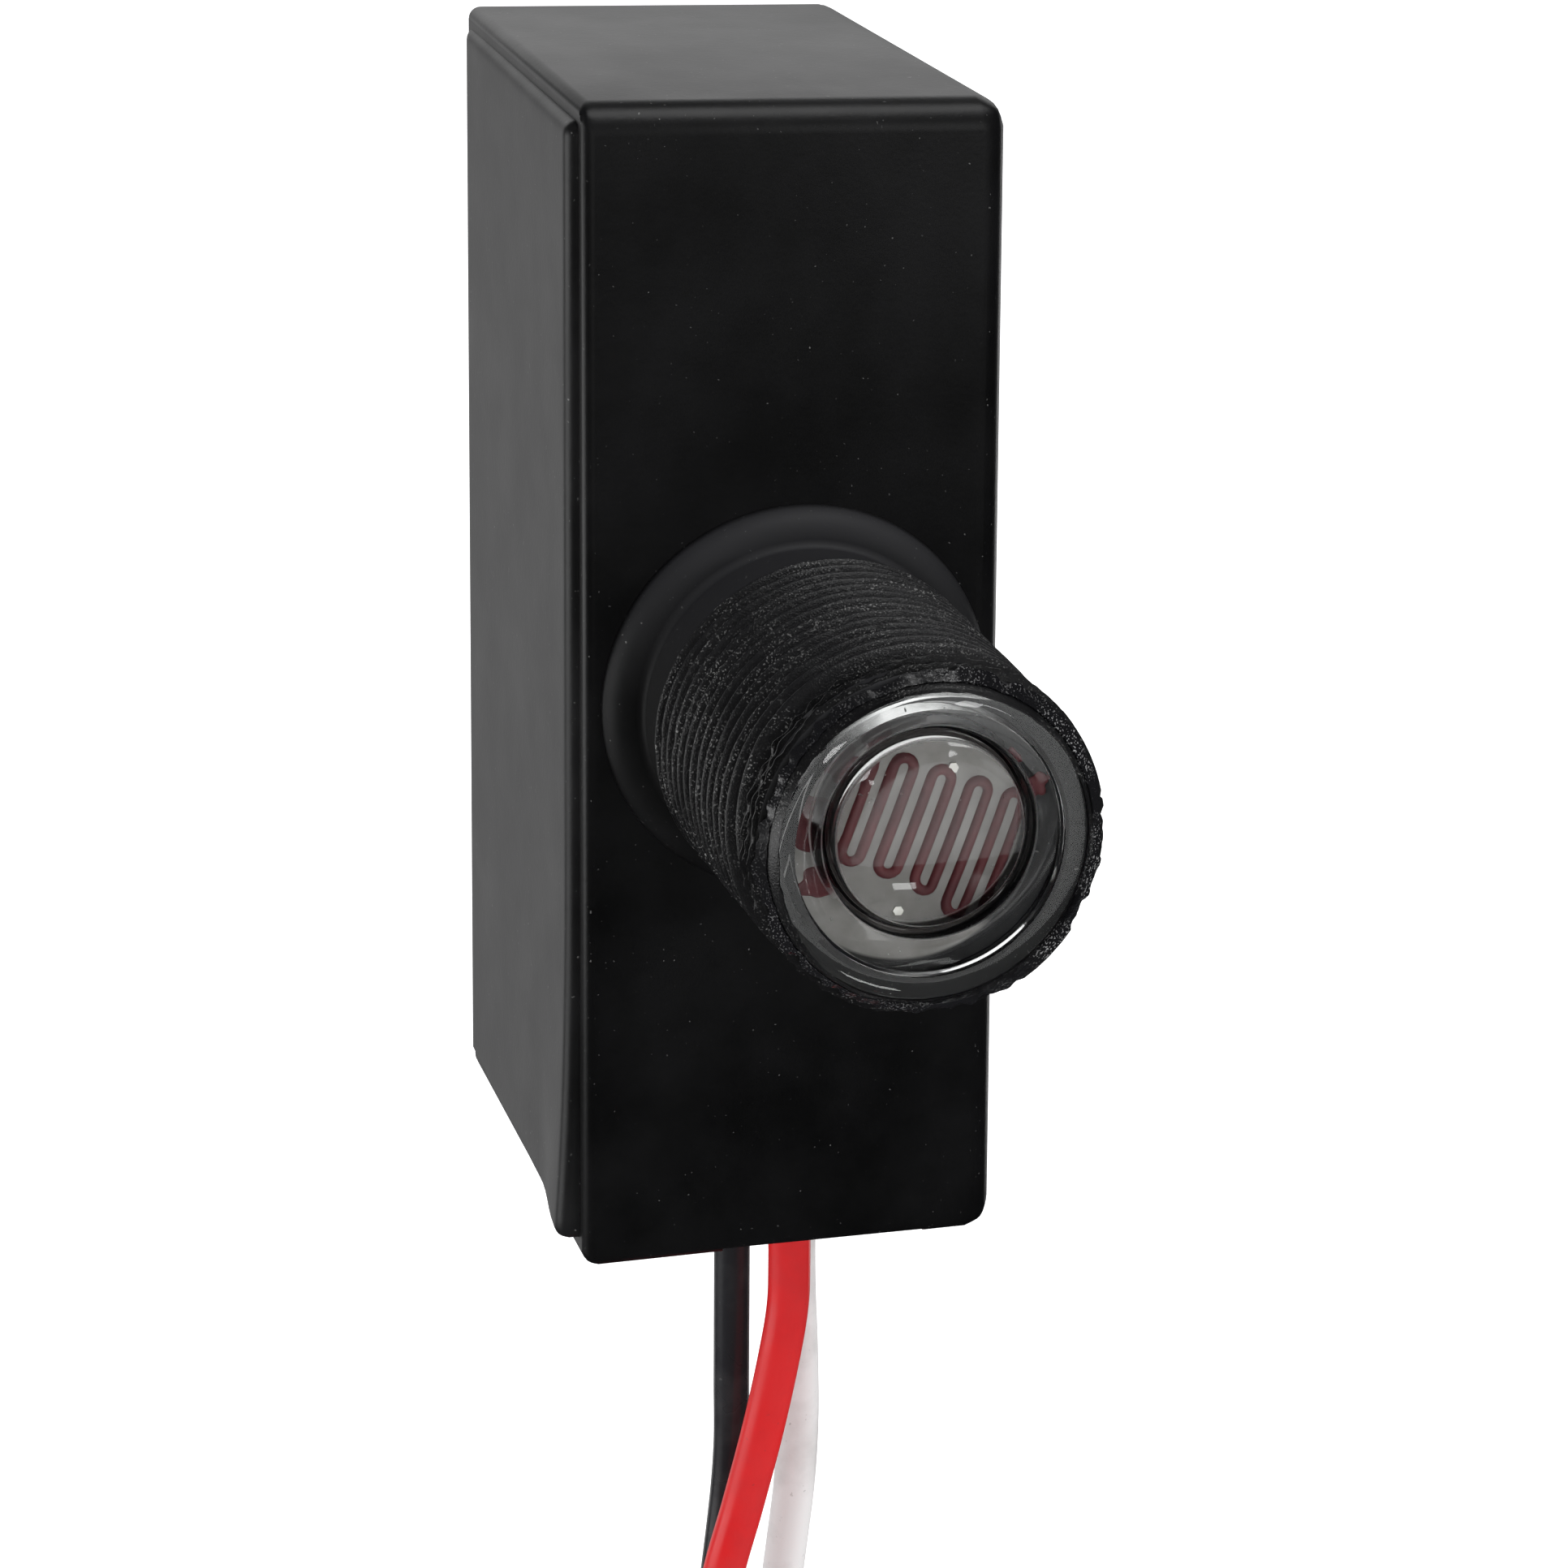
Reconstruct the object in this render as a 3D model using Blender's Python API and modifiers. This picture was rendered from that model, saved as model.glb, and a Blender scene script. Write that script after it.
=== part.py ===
"""Fixed-mount photocell switch: a drafted housing with a threaded nozzle, a clear lens
over a light cell, a relay board inside, a welded side cover and three hanging leads.

The origin is on the nozzle's axis in the plane of the front face. The nozzle points
along -Y, +X is to the right of the face and +Z is up. All sizes are in metres."""

import math

import bmesh
import bpy
from mathutils import Matrix, Vector

# Housing, measured at the front face
SHELL_WIDTH = 0.0264
SHELL_DEPTH = 0.0340
TOP_HEIGHT = 0.0373
BOTTOM_HEIGHT = 0.0361
WALL = 0.0018
DRAFT_ANGLE = math.radians(2.1)
SIDE_DRAFT_ANGLE = math.radians(1.65)
TOP_FALL = 0.0011
BOTTOM_RISE = 0.0003
FRONT_TOP_RADIUS = 0.0019
SIDE_RADIUS = 0.0018
REAR_RADIUS = 0.0008
BEAD_RADIUS = 0.0008
SOLE_RADIUS = 0.0011

# Side cover and the rebate that it sits in
CLEARANCE = 0.0003
LIP = 0.00075
BOTTOM_LIP = 0.00095
SEAM_WIDTH = 0.00045
REBATE_DEPTH = 0.0010
COVER_PROUD = 0.00075
COVER_PROUD_REAR = 0.00040
COVER_EDGE_RADIUS = 0.0009
COVER_CORNER_ANGLE = math.radians(50)
COVER_RIM_DEPTH = 0.0020
COVER_RIM_THICKNESS = 0.0012
RIM_OVERLAP = 0.0006
BOW_HEIGHT = 0.00095
BOW_LENGTH = 0.030
BOW_START = 0.0020
BOW_REACH = 0.010
BOW_FALL_UP = 3.0

# Threaded nozzle
NOZZLE_LENGTH = 0.0284
THREAD_RADIUS = 0.01065
THREAD_PITCH = 0.001337
THREAD_DEPTH = 0.00080
THREAD_START = 0.0062
THREAD_CREST = 0.00035
THREAD_FOOT = 0.00115
THREAD_STEPS = 24
THREAD_TURN = math.radians(-94)
THREAD_SINK = 0.0003
COLLAR_RADIUS = 0.0119
COLLAR_FILLET = 0.0013
COLLAR_STEP = 0.0006
COLLAR_RISE = 0.0009
COLLAR_FLARE = 0.0002
NECK_DEPTH = 0.00055
NECK_LENGTH = 0.0020
END_LAND = 0.0018
END_CHAMFER = 0.0004
BORE_RADIUS = 0.0083

# Lens and its bead of adhesive
LENS_RADIUS = 0.00945
LENS_EDGE = 0.0012
LENS_FACE_CURVE = 0.060
RING_OUTER = 0.0063
RING_INNER = 0.0055
RING_DEPTH = 0.0007
EYE_RISE = 0.0010
EYE_OFFSET = (-0.00045, 0.00118)
EYE_SHIFT_REACH = 0.0076
RING_DRAFT = 0.0001
SPIGOT_LENGTH = 0.0014
SPIGOT_CHAMFER = 0.0003
SEAL_WIDTH = 0.0007

# Light cell and what carries it
CELL_RADIUS = 0.0063
CELL_THICKNESS = 0.0020
CELL_GAP = 0.0004
CELL_TILT = math.radians(21)
TRACK_PITCH = 0.00105
TRACK_RUNS = 9
TRACK_HALF_LENGTH = 0.0030
TRACK_WIDTH = 0.00042
CELL_LEAD_OFFSET = 0.0041
CELL_CHAMFER = 0.0002
CELL_LEAD_RADIUS = 0.0003
CELL_LEAD_PROUD = 0.0001
CELL_LEAD_STRAIGHT = 0.004
CELL_LEAD_SPACING = 0.0024
CELL_LEAD_BEND = 0.0030
CELL_LEAD_ENTRY = 0.0005
CELL_LANDING = 0.0020
CELL_DROP = 0.0020
SLEEVE_RADIUS = 0.0008
SLEEVE_MARGIN = 0.0012
HOLDER_THICKNESS = 0.0030
HOLDER_LIP = 0.0009

# Circuit board
BOARD_THICKNESS = 0.0016
BOARD_SPACE = 0.0022
BOARD_GAP = 0.0018
POST_RADIUS = 0.0026
STAKE_RADIUS = 0.0010
STAKE_HEIGHT = 0.0010
POST_INSET = 0.0032
PIN_RADIUS = 0.0003
PIN_CLEARANCE = 0.0002
PIN_STICKOUT = 0.0010
PIN_SIDES = 6
PIN_GRIP = 0.0015

# Components: sizes away from the board, across its depth and up it
RELAY_SIZE = (0.0153, 0.0190, 0.0155)
RELAY_PIN_ROWS = 0.0120
RELAY_CORNER = 0.0005
DROPPER_SIZE = (0.0120, 0.0172, 0.0064)
DROPPER_PIN_PITCH = 0.0150
DROPPER_CORNER = 0.0009
CAN_RADIUS = 0.0040
CAN_HEIGHT = 0.0115
CAN_PIN_PITCH = 0.0035
VARISTOR_RADIUS = 0.0036
VARISTOR_THICKNESS = 0.0032
VARISTOR_PIN_PITCH = 0.0050
VARISTOR_LIFT = 0.0008
AXIAL_LIFT = 0.0004
AXIAL_BEND = 0.0008
DIODE_RADIUS = 0.00135
DIODE_LENGTH = 0.0052
DIODE_PIN_PITCH = 0.0095
DIODE_LANE = 0.0036
ZENER_RADIUS = 0.00095
ZENER_LENGTH = 0.0040
ZENER_PIN_PITCH = 0.0080
RESISTOR_LENGTH = 0.0062
LOAD_RESISTOR_RADIUS = 0.0016
LOAD_RESISTOR_PITCH = 0.0087
CELL_RESISTOR_RADIUS = 0.00115
CELL_RESISTOR_PITCH = 0.0095
CELL_RESISTOR_INSET = 0.0014
TRANSISTOR_RADIUS = 0.0023
TRANSISTOR_HEIGHT = 0.0046
TRANSISTOR_LIFT = 0.0022
TRANSISTOR_PIN_PITCH = 0.0019
ROW_GAP = 0.0009
SOLDER_HEIGHT = 0.0084
SOLDER_WIDTH = 0.0144

# Leads and their bushing
BLACK_LEAD_RADIUS = 0.00115
COLOUR_LEAD_RADIUS = 0.00135
BARE_RADIUS = 0.0006
BARE_LENGTH = 0.010
SOLDER_BEND = 0.0012
LEAD_SPACING = 0.0052
BUSHING_LENGTH = 0.0112
BUSHING_WIDTH = 0.0106
BUSHING_RECESS = 0.00025
BUSHING_STEM = 0.0012
BUSHING_CORNER = 0.0020
EXIT_CORNER = 0.0022
BUSHING_FLANGE = 0.0010
FLANGE_THICKNESS = 0.0016
FLANGE_CORNER = 0.0024
BUSHING_CENTRE = (0.0022, 0.0126)
RELIEF_WIDTH = 0.0130
RELIEF_DEPTH = 0.00025
RELIEF_MARGIN = 0.0012

THREAD_END = NOZZLE_LENGTH - END_LAND - NECK_LENGTH
LEAN = math.tan(DRAFT_ANGLE)
SIDE_LEAN = math.tan(SIDE_DRAFT_ANGLE)
BOARD_BACK = SHELL_WIDTH / 2 - WALL - BOARD_SPACE
BOARD_FACE = BOARD_BACK - BOARD_THICKNESS
BOARD_FRONT = WALL + BOARD_GAP
BOARD_REAR = SHELL_DEPTH - WALL - BOARD_GAP
BOARD_MIDDLE = (BOARD_FRONT + BOARD_REAR) / 2
BOARD_TOP = TOP_HEIGHT - TOP_FALL - LEAN * SHELL_DEPTH - WALL - BOARD_GAP
BOARD_BOTTOM = -BOTTOM_HEIGHT + BOTTOM_RISE + LEAN * SHELL_DEPTH + WALL + BOARD_GAP
ROOT_RADIUS = THREAD_RADIUS - THREAD_DEPTH
LENS_SEAT = NOZZLE_LENGTH + CLEARANCE
OVERSHOOT = 0.002

parts = None
cutters = None
pin_places = []
solder_places = []


def clear_scene():
    for obj in list(bpy.data.objects):
        bpy.data.objects.remove(obj, do_unlink=True)


def new_collection(name, hidden=False):
    made = bpy.data.collections.new(name)
    bpy.context.scene.collection.children.link(made)
    made.hide_render = hidden
    return made


def new_material(name, colour, roughness, metallic=0.0, transmission=0.0):
    made = bpy.data.materials.new(name)
    made.use_nodes = True
    shader = made.node_tree.nodes["Principled BSDF"]
    shader.inputs["Base Color"].default_value = (*colour, 1.0)
    shader.inputs["Roughness"].default_value = roughness
    shader.inputs["Metallic"].default_value = metallic
    shader.inputs["Transmission Weight"].default_value = transmission
    made.diffuse_color = (*colour, 1.0)
    return made


def add_object(name, mesh, material=None):
    """Links an object: among the parts if it has a material, among the cutters if not."""
    obj = bpy.data.objects.new(name, mesh)
    if material is None:
        cutters.objects.link(obj)
        obj.hide_render = True
        obj.display_type = "WIRE"
    else:
        parts.objects.link(obj)
        obj.data.materials.append(material)
    return obj


def finish_mesh(name, bm, material=None):
    bmesh.ops.recalc_face_normals(bm, faces=bm.faces)
    mesh = bpy.data.meshes.new(name)
    bm.to_mesh(mesh)
    bm.free()
    return add_object(name, mesh, material)


def smooth(obj, angle=40):
    obj.data.shade_smooth()
    obj.data.set_sharp_from_angle(angle=math.radians(angle))


def boolean(obj, other, operation="DIFFERENCE"):
    cut = obj.modifiers.new(f"{operation.lower()} {other.name}", "BOOLEAN")
    cut.operation = operation
    cut.object = other
    cut.solver = "EXACT"


def bevel(obj, width, segments=3, angle=30):
    edge = obj.modifiers.new("Rounded edges", "BEVEL")
    edge.width = width
    edge.segments = segments
    edge.limit_method = "ANGLE"
    edge.angle_limit = math.radians(angle)


def realised(obj, name, material=None):
    """A new mesh object with the first one's modifiers applied and its place kept."""
    bpy.context.view_layer.update()
    graph = bpy.context.evaluated_depsgraph_get()
    mesh = bpy.data.meshes.new_from_object(obj.evaluated_get(graph))
    mesh.transform(obj.matrix_world)
    mesh.materials.clear()
    bpy.data.objects.remove(obj, do_unlink=True)
    mesh.name = name
    return add_object(name, mesh, material)


# The housing's outer faces, as functions of where they are measured


def right_at(depth):
    return SHELL_WIDTH / 2 - SIDE_LEAN * depth


def left_at(depth):
    return -SHELL_WIDTH / 2 + SIDE_LEAN * depth


def top_at(across, depth):
    return TOP_HEIGHT - LEAN * depth - TOP_FALL * (across / SHELL_WIDTH + 0.5)


def bottom_at(across, depth):
    return -BOTTOM_HEIGHT + LEAN * depth + BOTTOM_RISE * (across / SHELL_WIDTH + 0.5)


def drafted_block(left, right, front, rear, above=0.0, below=0.0):
    """A block whose top and bottom follow the housing's, inset by above and below.
    left and right are functions of the depth. Returns the mesh being edited."""
    bm = bmesh.new()
    bmesh.ops.create_cube(bm, size=2.0)
    for vert in bm.verts:
        depth = front if vert.co.y < 0 else rear
        across = left(depth) if vert.co.x < 0 else right(depth)
        if vert.co.z > 0:
            height = top_at(across, depth) - above
        else:
            height = bottom_at(across, depth) + below
        vert.co = (across, depth, height)
    return bm


def mark_edges(bm, radii, largest):
    """Bevel weights for the edges of a block: radii is a list of (test, radius), and
    the test takes the directions in which the edge's two faces point."""
    bm.edges.ensure_lookup_table()
    weights = bm.edges.layers.float.new("bevel_weight_edge")
    for edge in bm.edges:
        facing = set()
        for face in edge.link_faces:
            normal = face.normal
            axis = max(range(3), key=lambda k: abs(normal[k]))
            names = ("left", "front", "bottom") if normal[axis] < 0 else ("right", "rear", "top")
            facing.add(names[axis])
        for sides, radius in radii:
            if sides == facing:
                edge[weights] = radius / largest


def rounded_block(name, bm, radii, segments, material=None):
    """A block with its own radius on each named edge."""
    bm.normal_update()
    largest = max(radius for _, radius in radii)
    mark_edges(bm, radii, largest)
    obj = finish_mesh(name, bm, material)
    edge = obj.modifiers.new("Moulded radii", "BEVEL")
    edge.width = largest
    edge.segments = segments
    edge.limit_method = "WEIGHT"
    return obj


def plain_box(name, low, high, material=None):
    """A box between two corners."""
    low, high = Vector(low), Vector(high)
    bm = bmesh.new()
    bmesh.ops.create_cube(bm, size=1.0)
    bmesh.ops.scale(bm, vec=high - low, verts=bm.verts)
    bmesh.ops.translate(bm, vec=(high + low) / 2, verts=bm.verts)
    return finish_mesh(name, bm, material)


def rod(name, start, end, radius, segments=16, material=None):
    """A cylinder between two points."""
    start, end = Vector(start), Vector(end)
    along = end - start
    bm = bmesh.new()
    bmesh.ops.create_cone(
        bm, cap_ends=True, segments=segments, radius1=radius, radius2=radius, depth=along.length
    )
    turn = along.to_track_quat("Z", "Y").to_matrix().to_4x4()
    bmesh.ops.transform(bm, matrix=Matrix.Translation((start + end) / 2) @ turn, verts=bm.verts)
    return finish_mesh(name, bm, material)


def joined_rods(name, places, radius, segments=10):
    """One cutter that holds a separate cylinder for each pair of points."""
    bm = bmesh.new()
    for start, end in places:
        start, end = Vector(start), Vector(end)
        along = end - start
        made = bmesh.ops.create_cone(
            bm, cap_ends=True, segments=segments, radius1=radius, radius2=radius, depth=along.length
        )
        turn = along.to_track_quat("Z", "Y").to_matrix().to_4x4()
        place = Matrix.Translation((start + end) / 2) @ turn
        bmesh.ops.transform(bm, matrix=place, verts=made["verts"])
    return finish_mesh(name, bm)


def turned(name, profile, steps=48, material=None, closed=False):
    """A solid turned about the nozzle's axis. The profile holds (radius, distance out
    from the front face) and runs from the tip down the outer side."""
    mesh = bpy.data.meshes.new(name)
    count = len(profile)
    edges = [(i, i + 1) for i in range(count - 1)] + ([(count - 1, 0)] if closed else [])
    mesh.from_pydata([(radius, 0, out) for radius, out in profile], edges, [])
    obj = add_object(name, mesh, material)
    obj.rotation_euler = (math.pi / 2, 0, 0)
    screw = obj.modifiers.new("Turned", "SCREW")
    screw.steps = screw.render_steps = steps
    screw.use_merge_vertices = True
    screw.merge_threshold = 1e-6
    screw.use_smooth_shade = True
    return obj


def arc(centre, radius, start, end, count, flatten=1.0):
    """Points of a profile along an arc, from one angle to another in degrees."""
    points = []
    for i in range(count + 1):
        angle = math.radians(start + (end - start) * i / count)
        points.append(
            (centre[0] + radius * math.cos(angle), centre[1] + flatten * radius * math.sin(angle))
        )
    return points


def tube(name, points, radius, material, resolution=2):
    """A round wire along a list of points."""
    curve = bpy.data.curves.new(name, "CURVE")
    curve.dimensions = "3D"
    curve.bevel_depth = radius
    curve.bevel_resolution = resolution
    curve.use_fill_caps = True
    spline = curve.splines.new("POLY")
    spline.points.add(len(points) - 1)
    for place, point in zip(spline.points, points):
        place.co = (*point, 1.0)
    spline.use_smooth = True
    obj = bpy.data.objects.new(name, curve)
    parts.objects.link(obj)
    if material:
        curve.materials.append(material)
    return obj


def solid_tube(name, points, radius, material=None, resolution=2):
    """The same wire as a closed mesh, for joining and cutting."""
    made = realised(tube(f"{name} path", points, radius, material, resolution), name, material)
    bm = bmesh.new()
    bm.from_mesh(made.data)
    bmesh.ops.remove_doubles(bm, verts=bm.verts, dist=1e-6)
    bmesh.ops.recalc_face_normals(bm, faces=bm.faces)
    bm.to_mesh(made.data)
    bm.free()
    return made


def smooth_route(knots, spacing):
    """Evenly spaced points on a Catmull-Rom curve through the knots."""
    knots = [Vector(k) for k in knots]
    ends = [2 * knots[0] - knots[1]] + knots + [2 * knots[-1] - knots[-2]]
    fine = []
    for a, b, c, d in zip(ends, ends[1:], ends[2:], ends[3:]):
        for i in range(24):
            t = i / 24
            fine.append(
                0.5
                * (
                    2 * b
                    + (c - a) * t
                    + (2 * a - 5 * b + 4 * c - d) * t**2
                    + (3 * b - a - 3 * c + d) * t**3
                )
            )
    fine.append(knots[-1])
    total = sum((q - p).length for p, q in zip(fine, fine[1:]))
    count = max(2, round(total / spacing))
    points, walked, target = [fine[0]], 0.0, total / count
    for p, q in zip(fine, fine[1:]):
        step = (q - p).length
        while walked + step >= target - 1e-9 and len(points) < count:
            points.append(p.lerp(q, (target - walked) / step))
            target += total / count
        walked += step
    points.append(fine[-1])
    return points


# Housing shell


def make_nozzle_core():
    """The nozzle before its thread and bore: collar, root cylinder, neck and end land."""
    neck = ROOT_RADIUS - NECK_DEPTH / 2
    land = THREAD_RADIUS - END_CHAMFER
    fillet = arc(
        (ROOT_RADIUS + COLLAR_FILLET + COLLAR_STEP, COLLAR_FILLET + COLLAR_RISE),
        COLLAR_FILLET,
        180,
        270,
        4,
    )
    profile = [
        (0, NOZZLE_LENGTH),
        (land - END_CHAMFER, NOZZLE_LENGTH),
        (land, NOZZLE_LENGTH - END_CHAMFER),
        (land, NOZZLE_LENGTH - END_LAND),
        (neck, NOZZLE_LENGTH - END_LAND - END_CHAMFER),
        (neck, THREAD_END + THREAD_PITCH / 4),
        (ROOT_RADIUS, THREAD_END),
        (ROOT_RADIUS, THREAD_START - THREAD_PITCH),
        (ROOT_RADIUS + COLLAR_STEP, THREAD_START - THREAD_PITCH * 1.5),
        *fillet,
        (COLLAR_RADIUS, COLLAR_RISE - COLLAR_FLARE),
        (COLLAR_RADIUS + COLLAR_FLARE, COLLAR_RISE / 2),
        (COLLAR_RADIUS + COLLAR_FLARE, -WALL / 2),
        (0, -WALL / 2),
    ]
    return turned("nozzle core", profile, steps=32)


def make_thread():
    """The nozzle's helical thread, its foot sunk into the root cylinder and its two
    ends run out into it over a quarter of a turn."""
    foot = ROOT_RADIUS - THREAD_SINK
    turns = round((THREAD_END - THREAD_START) / THREAD_PITCH)
    section = [
        (foot, -THREAD_FOOT / 2),
        (foot, THREAD_FOOT / 2),
        (THREAD_RADIUS, THREAD_CREST / 2),
        (THREAD_RADIUS, -THREAD_CREST / 2),
    ]
    mesh = bpy.data.meshes.new("thread section")
    mesh.from_pydata([(r, 0, h) for r, h in section], [(0, 1), (1, 2), (2, 3), (3, 0)], [])
    obj = add_object("thread section", mesh)
    screw = obj.modifiers.new("Helix", "SCREW")
    screw.steps = screw.render_steps = THREAD_STEPS
    screw.iterations = turns
    screw.screw_offset = THREAD_PITCH
    thread = realised(obj, "thread")
    bm = bmesh.new()
    bm.from_mesh(thread.data)
    bmesh.ops.holes_fill(bm, edges=[e for e in bm.edges if e.is_boundary])
    length = turns * THREAD_PITCH
    run_out = THREAD_PITCH / 4
    for vert in bm.verts:
        radius = math.hypot(vert.co.x, vert.co.y)
        turn = math.atan2(vert.co.y, vert.co.x) / math.tau
        advance = turn * THREAD_PITCH + THREAD_PITCH * round(vert.co.z / THREAD_PITCH - turn)
        into = min(advance, length - advance) / run_out
        height = max(0.25, min(1.0, into))
        scale = (foot + (radius - foot) * height) / radius
        vert.co.x *= scale
        vert.co.y *= scale
    bmesh.ops.translate(bm, vec=(0, 0, THREAD_START), verts=bm.verts)
    forward = Matrix.Rotation(math.pi / 2, 4, "X") @ Matrix.Rotation(THREAD_TURN, 4, "Z")
    bmesh.ops.transform(bm, matrix=forward, verts=bm.verts)
    bmesh.ops.recalc_face_normals(bm, faces=bm.faces)
    bm.to_mesh(thread.data)
    bm.free()
    return thread


def add_posts(shell):
    """Joins four posts to the right wall, each with a stake that holds the board."""
    shoulder = BOARD_BACK + CLEARANCE
    tip = BOARD_FACE - STAKE_HEIGHT
    posts = [((right_at(d) - WALL / 2, d, h), (shoulder, d, h)) for d, h in post_places()]
    stakes = [((right_at(d) - WALL / 2, d, h), (tip, d, h)) for d, h in post_places()]
    boolean(shell, joined_rods("board posts", posts, POST_RADIUS, 12), "UNION")
    boolean(shell, joined_rods("board stakes", stakes, STAKE_RADIUS, 10), "UNION")


def post_places():
    return [
        (depth, height)
        for depth in (BOARD_FRONT + POST_INSET, BOARD_REAR - POST_INSET)
        for height in (BOARD_TOP - POST_INSET, BOARD_BOTTOM + POST_INSET)
    ]


def make_housing(material):
    radii = [
        ({"front", "top"}, FRONT_TOP_RADIUS),
        ({"front", "right"}, SIDE_RADIUS),
        ({"top", "right"}, SIDE_RADIUS),
        ({"bottom", "right"}, SIDE_RADIUS),
        ({"front", "bottom"}, BEAD_RADIUS),
        ({"rear", "top"}, REAR_RADIUS),
        ({"rear", "right"}, REAR_RADIUS),
        ({"rear", "bottom"}, REAR_RADIUS),
        ({"left", "front"}, BEAD_RADIUS),
        ({"left", "top"}, BEAD_RADIUS),
        ({"left", "bottom"}, SOLE_RADIUS),
        ({"left", "rear"}, BEAD_RADIUS),
    ]
    block = drafted_block(left_at, right_at, 0.0, SHELL_DEPTH)
    shell = rounded_block("housing_shell", block, radii, 4, material)

    inside = drafted_block(
        lambda depth: left_at(depth) - OVERSHOOT,
        lambda depth: right_at(depth) - WALL,
        WALL,
        SHELL_DEPTH - WALL,
        WALL,
        WALL,
    )
    cavity = rounded_block(
        "cavity", inside, [({"front", "right"}, REAR_RADIUS), ({"rear", "right"}, REAR_RADIUS)], 2
    )
    boolean(shell, cavity)

    step = drafted_block(
        lambda depth: left_at(depth) - OVERSHOOT,
        lambda depth: left_at(depth) + REBATE_DEPTH,
        LIP,
        SHELL_DEPTH - LIP,
        LIP,
        BOTTOM_LIP,
    )
    boolean(shell, finish_mesh("cover rebate", step))

    boolean(shell, make_nozzle_core(), "UNION")
    boolean(shell, make_thread(), "UNION")
    bore = rod(
        "nozzle bore",
        (0, -NOZZLE_LENGTH - OVERSHOOT, 0),
        (0, WALL + OVERSHOOT, 0),
        BORE_RADIUS,
        segments=32,
    )
    boolean(shell, bore)
    add_posts(shell)

    across, depth = BUSHING_CENTRE
    half_x, half_y = BUSHING_LENGTH / 2 + CLEARANCE, BUSHING_WIDTH / 2 + CLEARANCE
    floor = -BOTTOM_HEIGHT
    exit_hole = plain_box(
        "lead exit",
        (across - half_x, depth - half_y, floor - OVERSHOOT),
        (across + half_x, depth + half_y, floor + WALL + OVERSHOOT),
    )
    bevel(exit_hole, EXIT_CORNER, 3)
    boolean(shell, exit_hole)
    relief = plain_box(
        "exit relief",
        (across - RELIEF_WIDTH / 2, -OVERSHOOT, floor - OVERSHOOT),
        (across + RELIEF_WIDTH / 2, depth + half_y + RELIEF_MARGIN, floor + RELIEF_DEPTH * 2),
    )
    boolean(shell, relief)
    smooth(shell, 35)


# Side cover


def bowed(point):
    """How far the cover springs outwards here: most at its lower front corner."""
    down = (point.z - bottom_at(point.x, point.y)) / BOW_LENGTH
    near = (BOW_REACH - point.y) / (BOW_REACH - BOW_START)
    if down > 1 or near < 0:
        return 0.0
    near = min(1.0, near)
    return BOW_HEIGHT * (1 - max(0.0, down)) ** BOW_FALL_UP * near**2 * (3 - 2 * near)


def cover_face(depth):
    """The cover's outer face, which stands prouder at the front than at the rear."""
    return left_at(depth) - COVER_PROUD - (COVER_PROUD_REAR - COVER_PROUD) * depth / SHELL_DEPTH


def edges_along(bm, axis, shortest):
    """The edges that run at least this far along an axis."""
    return [e for e in bm.edges if abs(e.verts[0].co[axis] - e.verts[1].co[axis]) > shortest]


def make_cover(material):
    inset = LIP + SEAM_WIDTH
    plate = drafted_block(
        cover_face,
        lambda depth: left_at(depth) + REBATE_DEPTH - CLEARANCE,
        inset,
        SHELL_DEPTH - inset,
        inset,
        BOTTOM_LIP + SEAM_WIDTH,
    )
    plate.normal_update()
    long_edges = edges_along(plate, 2, SHELL_DEPTH)
    bmesh.ops.subdivide_edges(plate, edges=long_edges, cuts=9, use_grid_fill=True)
    deep_edges = edges_along(plate, 1, SHELL_DEPTH / 2)
    bmesh.ops.subdivide_edges(plate, edges=deep_edges, cuts=5, use_grid_fill=True)
    for vert in plate.verts:
        vert.co.x -= bowed(vert.co)
    plate.normal_update()
    weights = plate.edges.layers.float.new("bevel_weight_edge")
    for edge in plate.edges:
        outer = all(vert.co.x < left_at(vert.co.y) for vert in edge.verts)
        if outer and edge.calc_face_angle() > COVER_CORNER_ANGLE:
            edge[weights] = 1.0
    cover = finish_mesh("side_cover", plate, material)
    rounding = cover.modifiers.new("Rounded outer edges", "BEVEL")
    rounding.width = COVER_EDGE_RADIUS
    rounding.segments = 4
    rounding.limit_method = "WEIGHT"

    def rim(name, thickness, ends):
        """The outline of the rim inside the cavity, this far in from the walls."""
        gap = WALL + CLEARANCE + thickness
        return finish_mesh(
            name,
            drafted_block(
                lambda depth: left_at(depth) + ends[0],
                lambda depth: left_at(depth) + ends[1],
                gap,
                SHELL_DEPTH - gap,
                gap,
                gap,
            ),
        )

    start = REBATE_DEPTH - CLEARANCE
    tip = start + COVER_RIM_DEPTH
    ring = rim("cover rim", 0.0, (start - RIM_OVERLAP, tip))
    boolean(ring, rim("inside of rim", COVER_RIM_THICKNESS, (start, tip + OVERSHOOT)))
    boolean(cover, ring, "UNION")
    smooth(cover, 35)


# Lens, light cell and holder


def lens_front(radius, rise=0.0):
    """Height of the lens's gently domed front at this radius."""
    edge = LENS_SEAT + LENS_EDGE
    shoulder = LENS_RADIUS - LENS_EDGE / 2
    return edge + rise + (shoulder**2 - radius**2) / (2 * LENS_FACE_CURVE)


def move_eye(lens):
    """Moves the eye and its ring off the lens's middle, and eases out to the rim."""
    middle = -LENS_SEAT - LENS_EDGE / 2
    for vert in lens.data.vertices:
        if vert.co.y < middle:
            radius = math.hypot(vert.co.x, vert.co.z)
            share = (LENS_RADIUS - radius) / (LENS_RADIUS - EYE_SHIFT_REACH)
            share = min(1.0, max(0.0, share))
            vert.co.x += EYE_OFFSET[0] * share
            vert.co.z += EYE_OFFSET[1] * share


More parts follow.
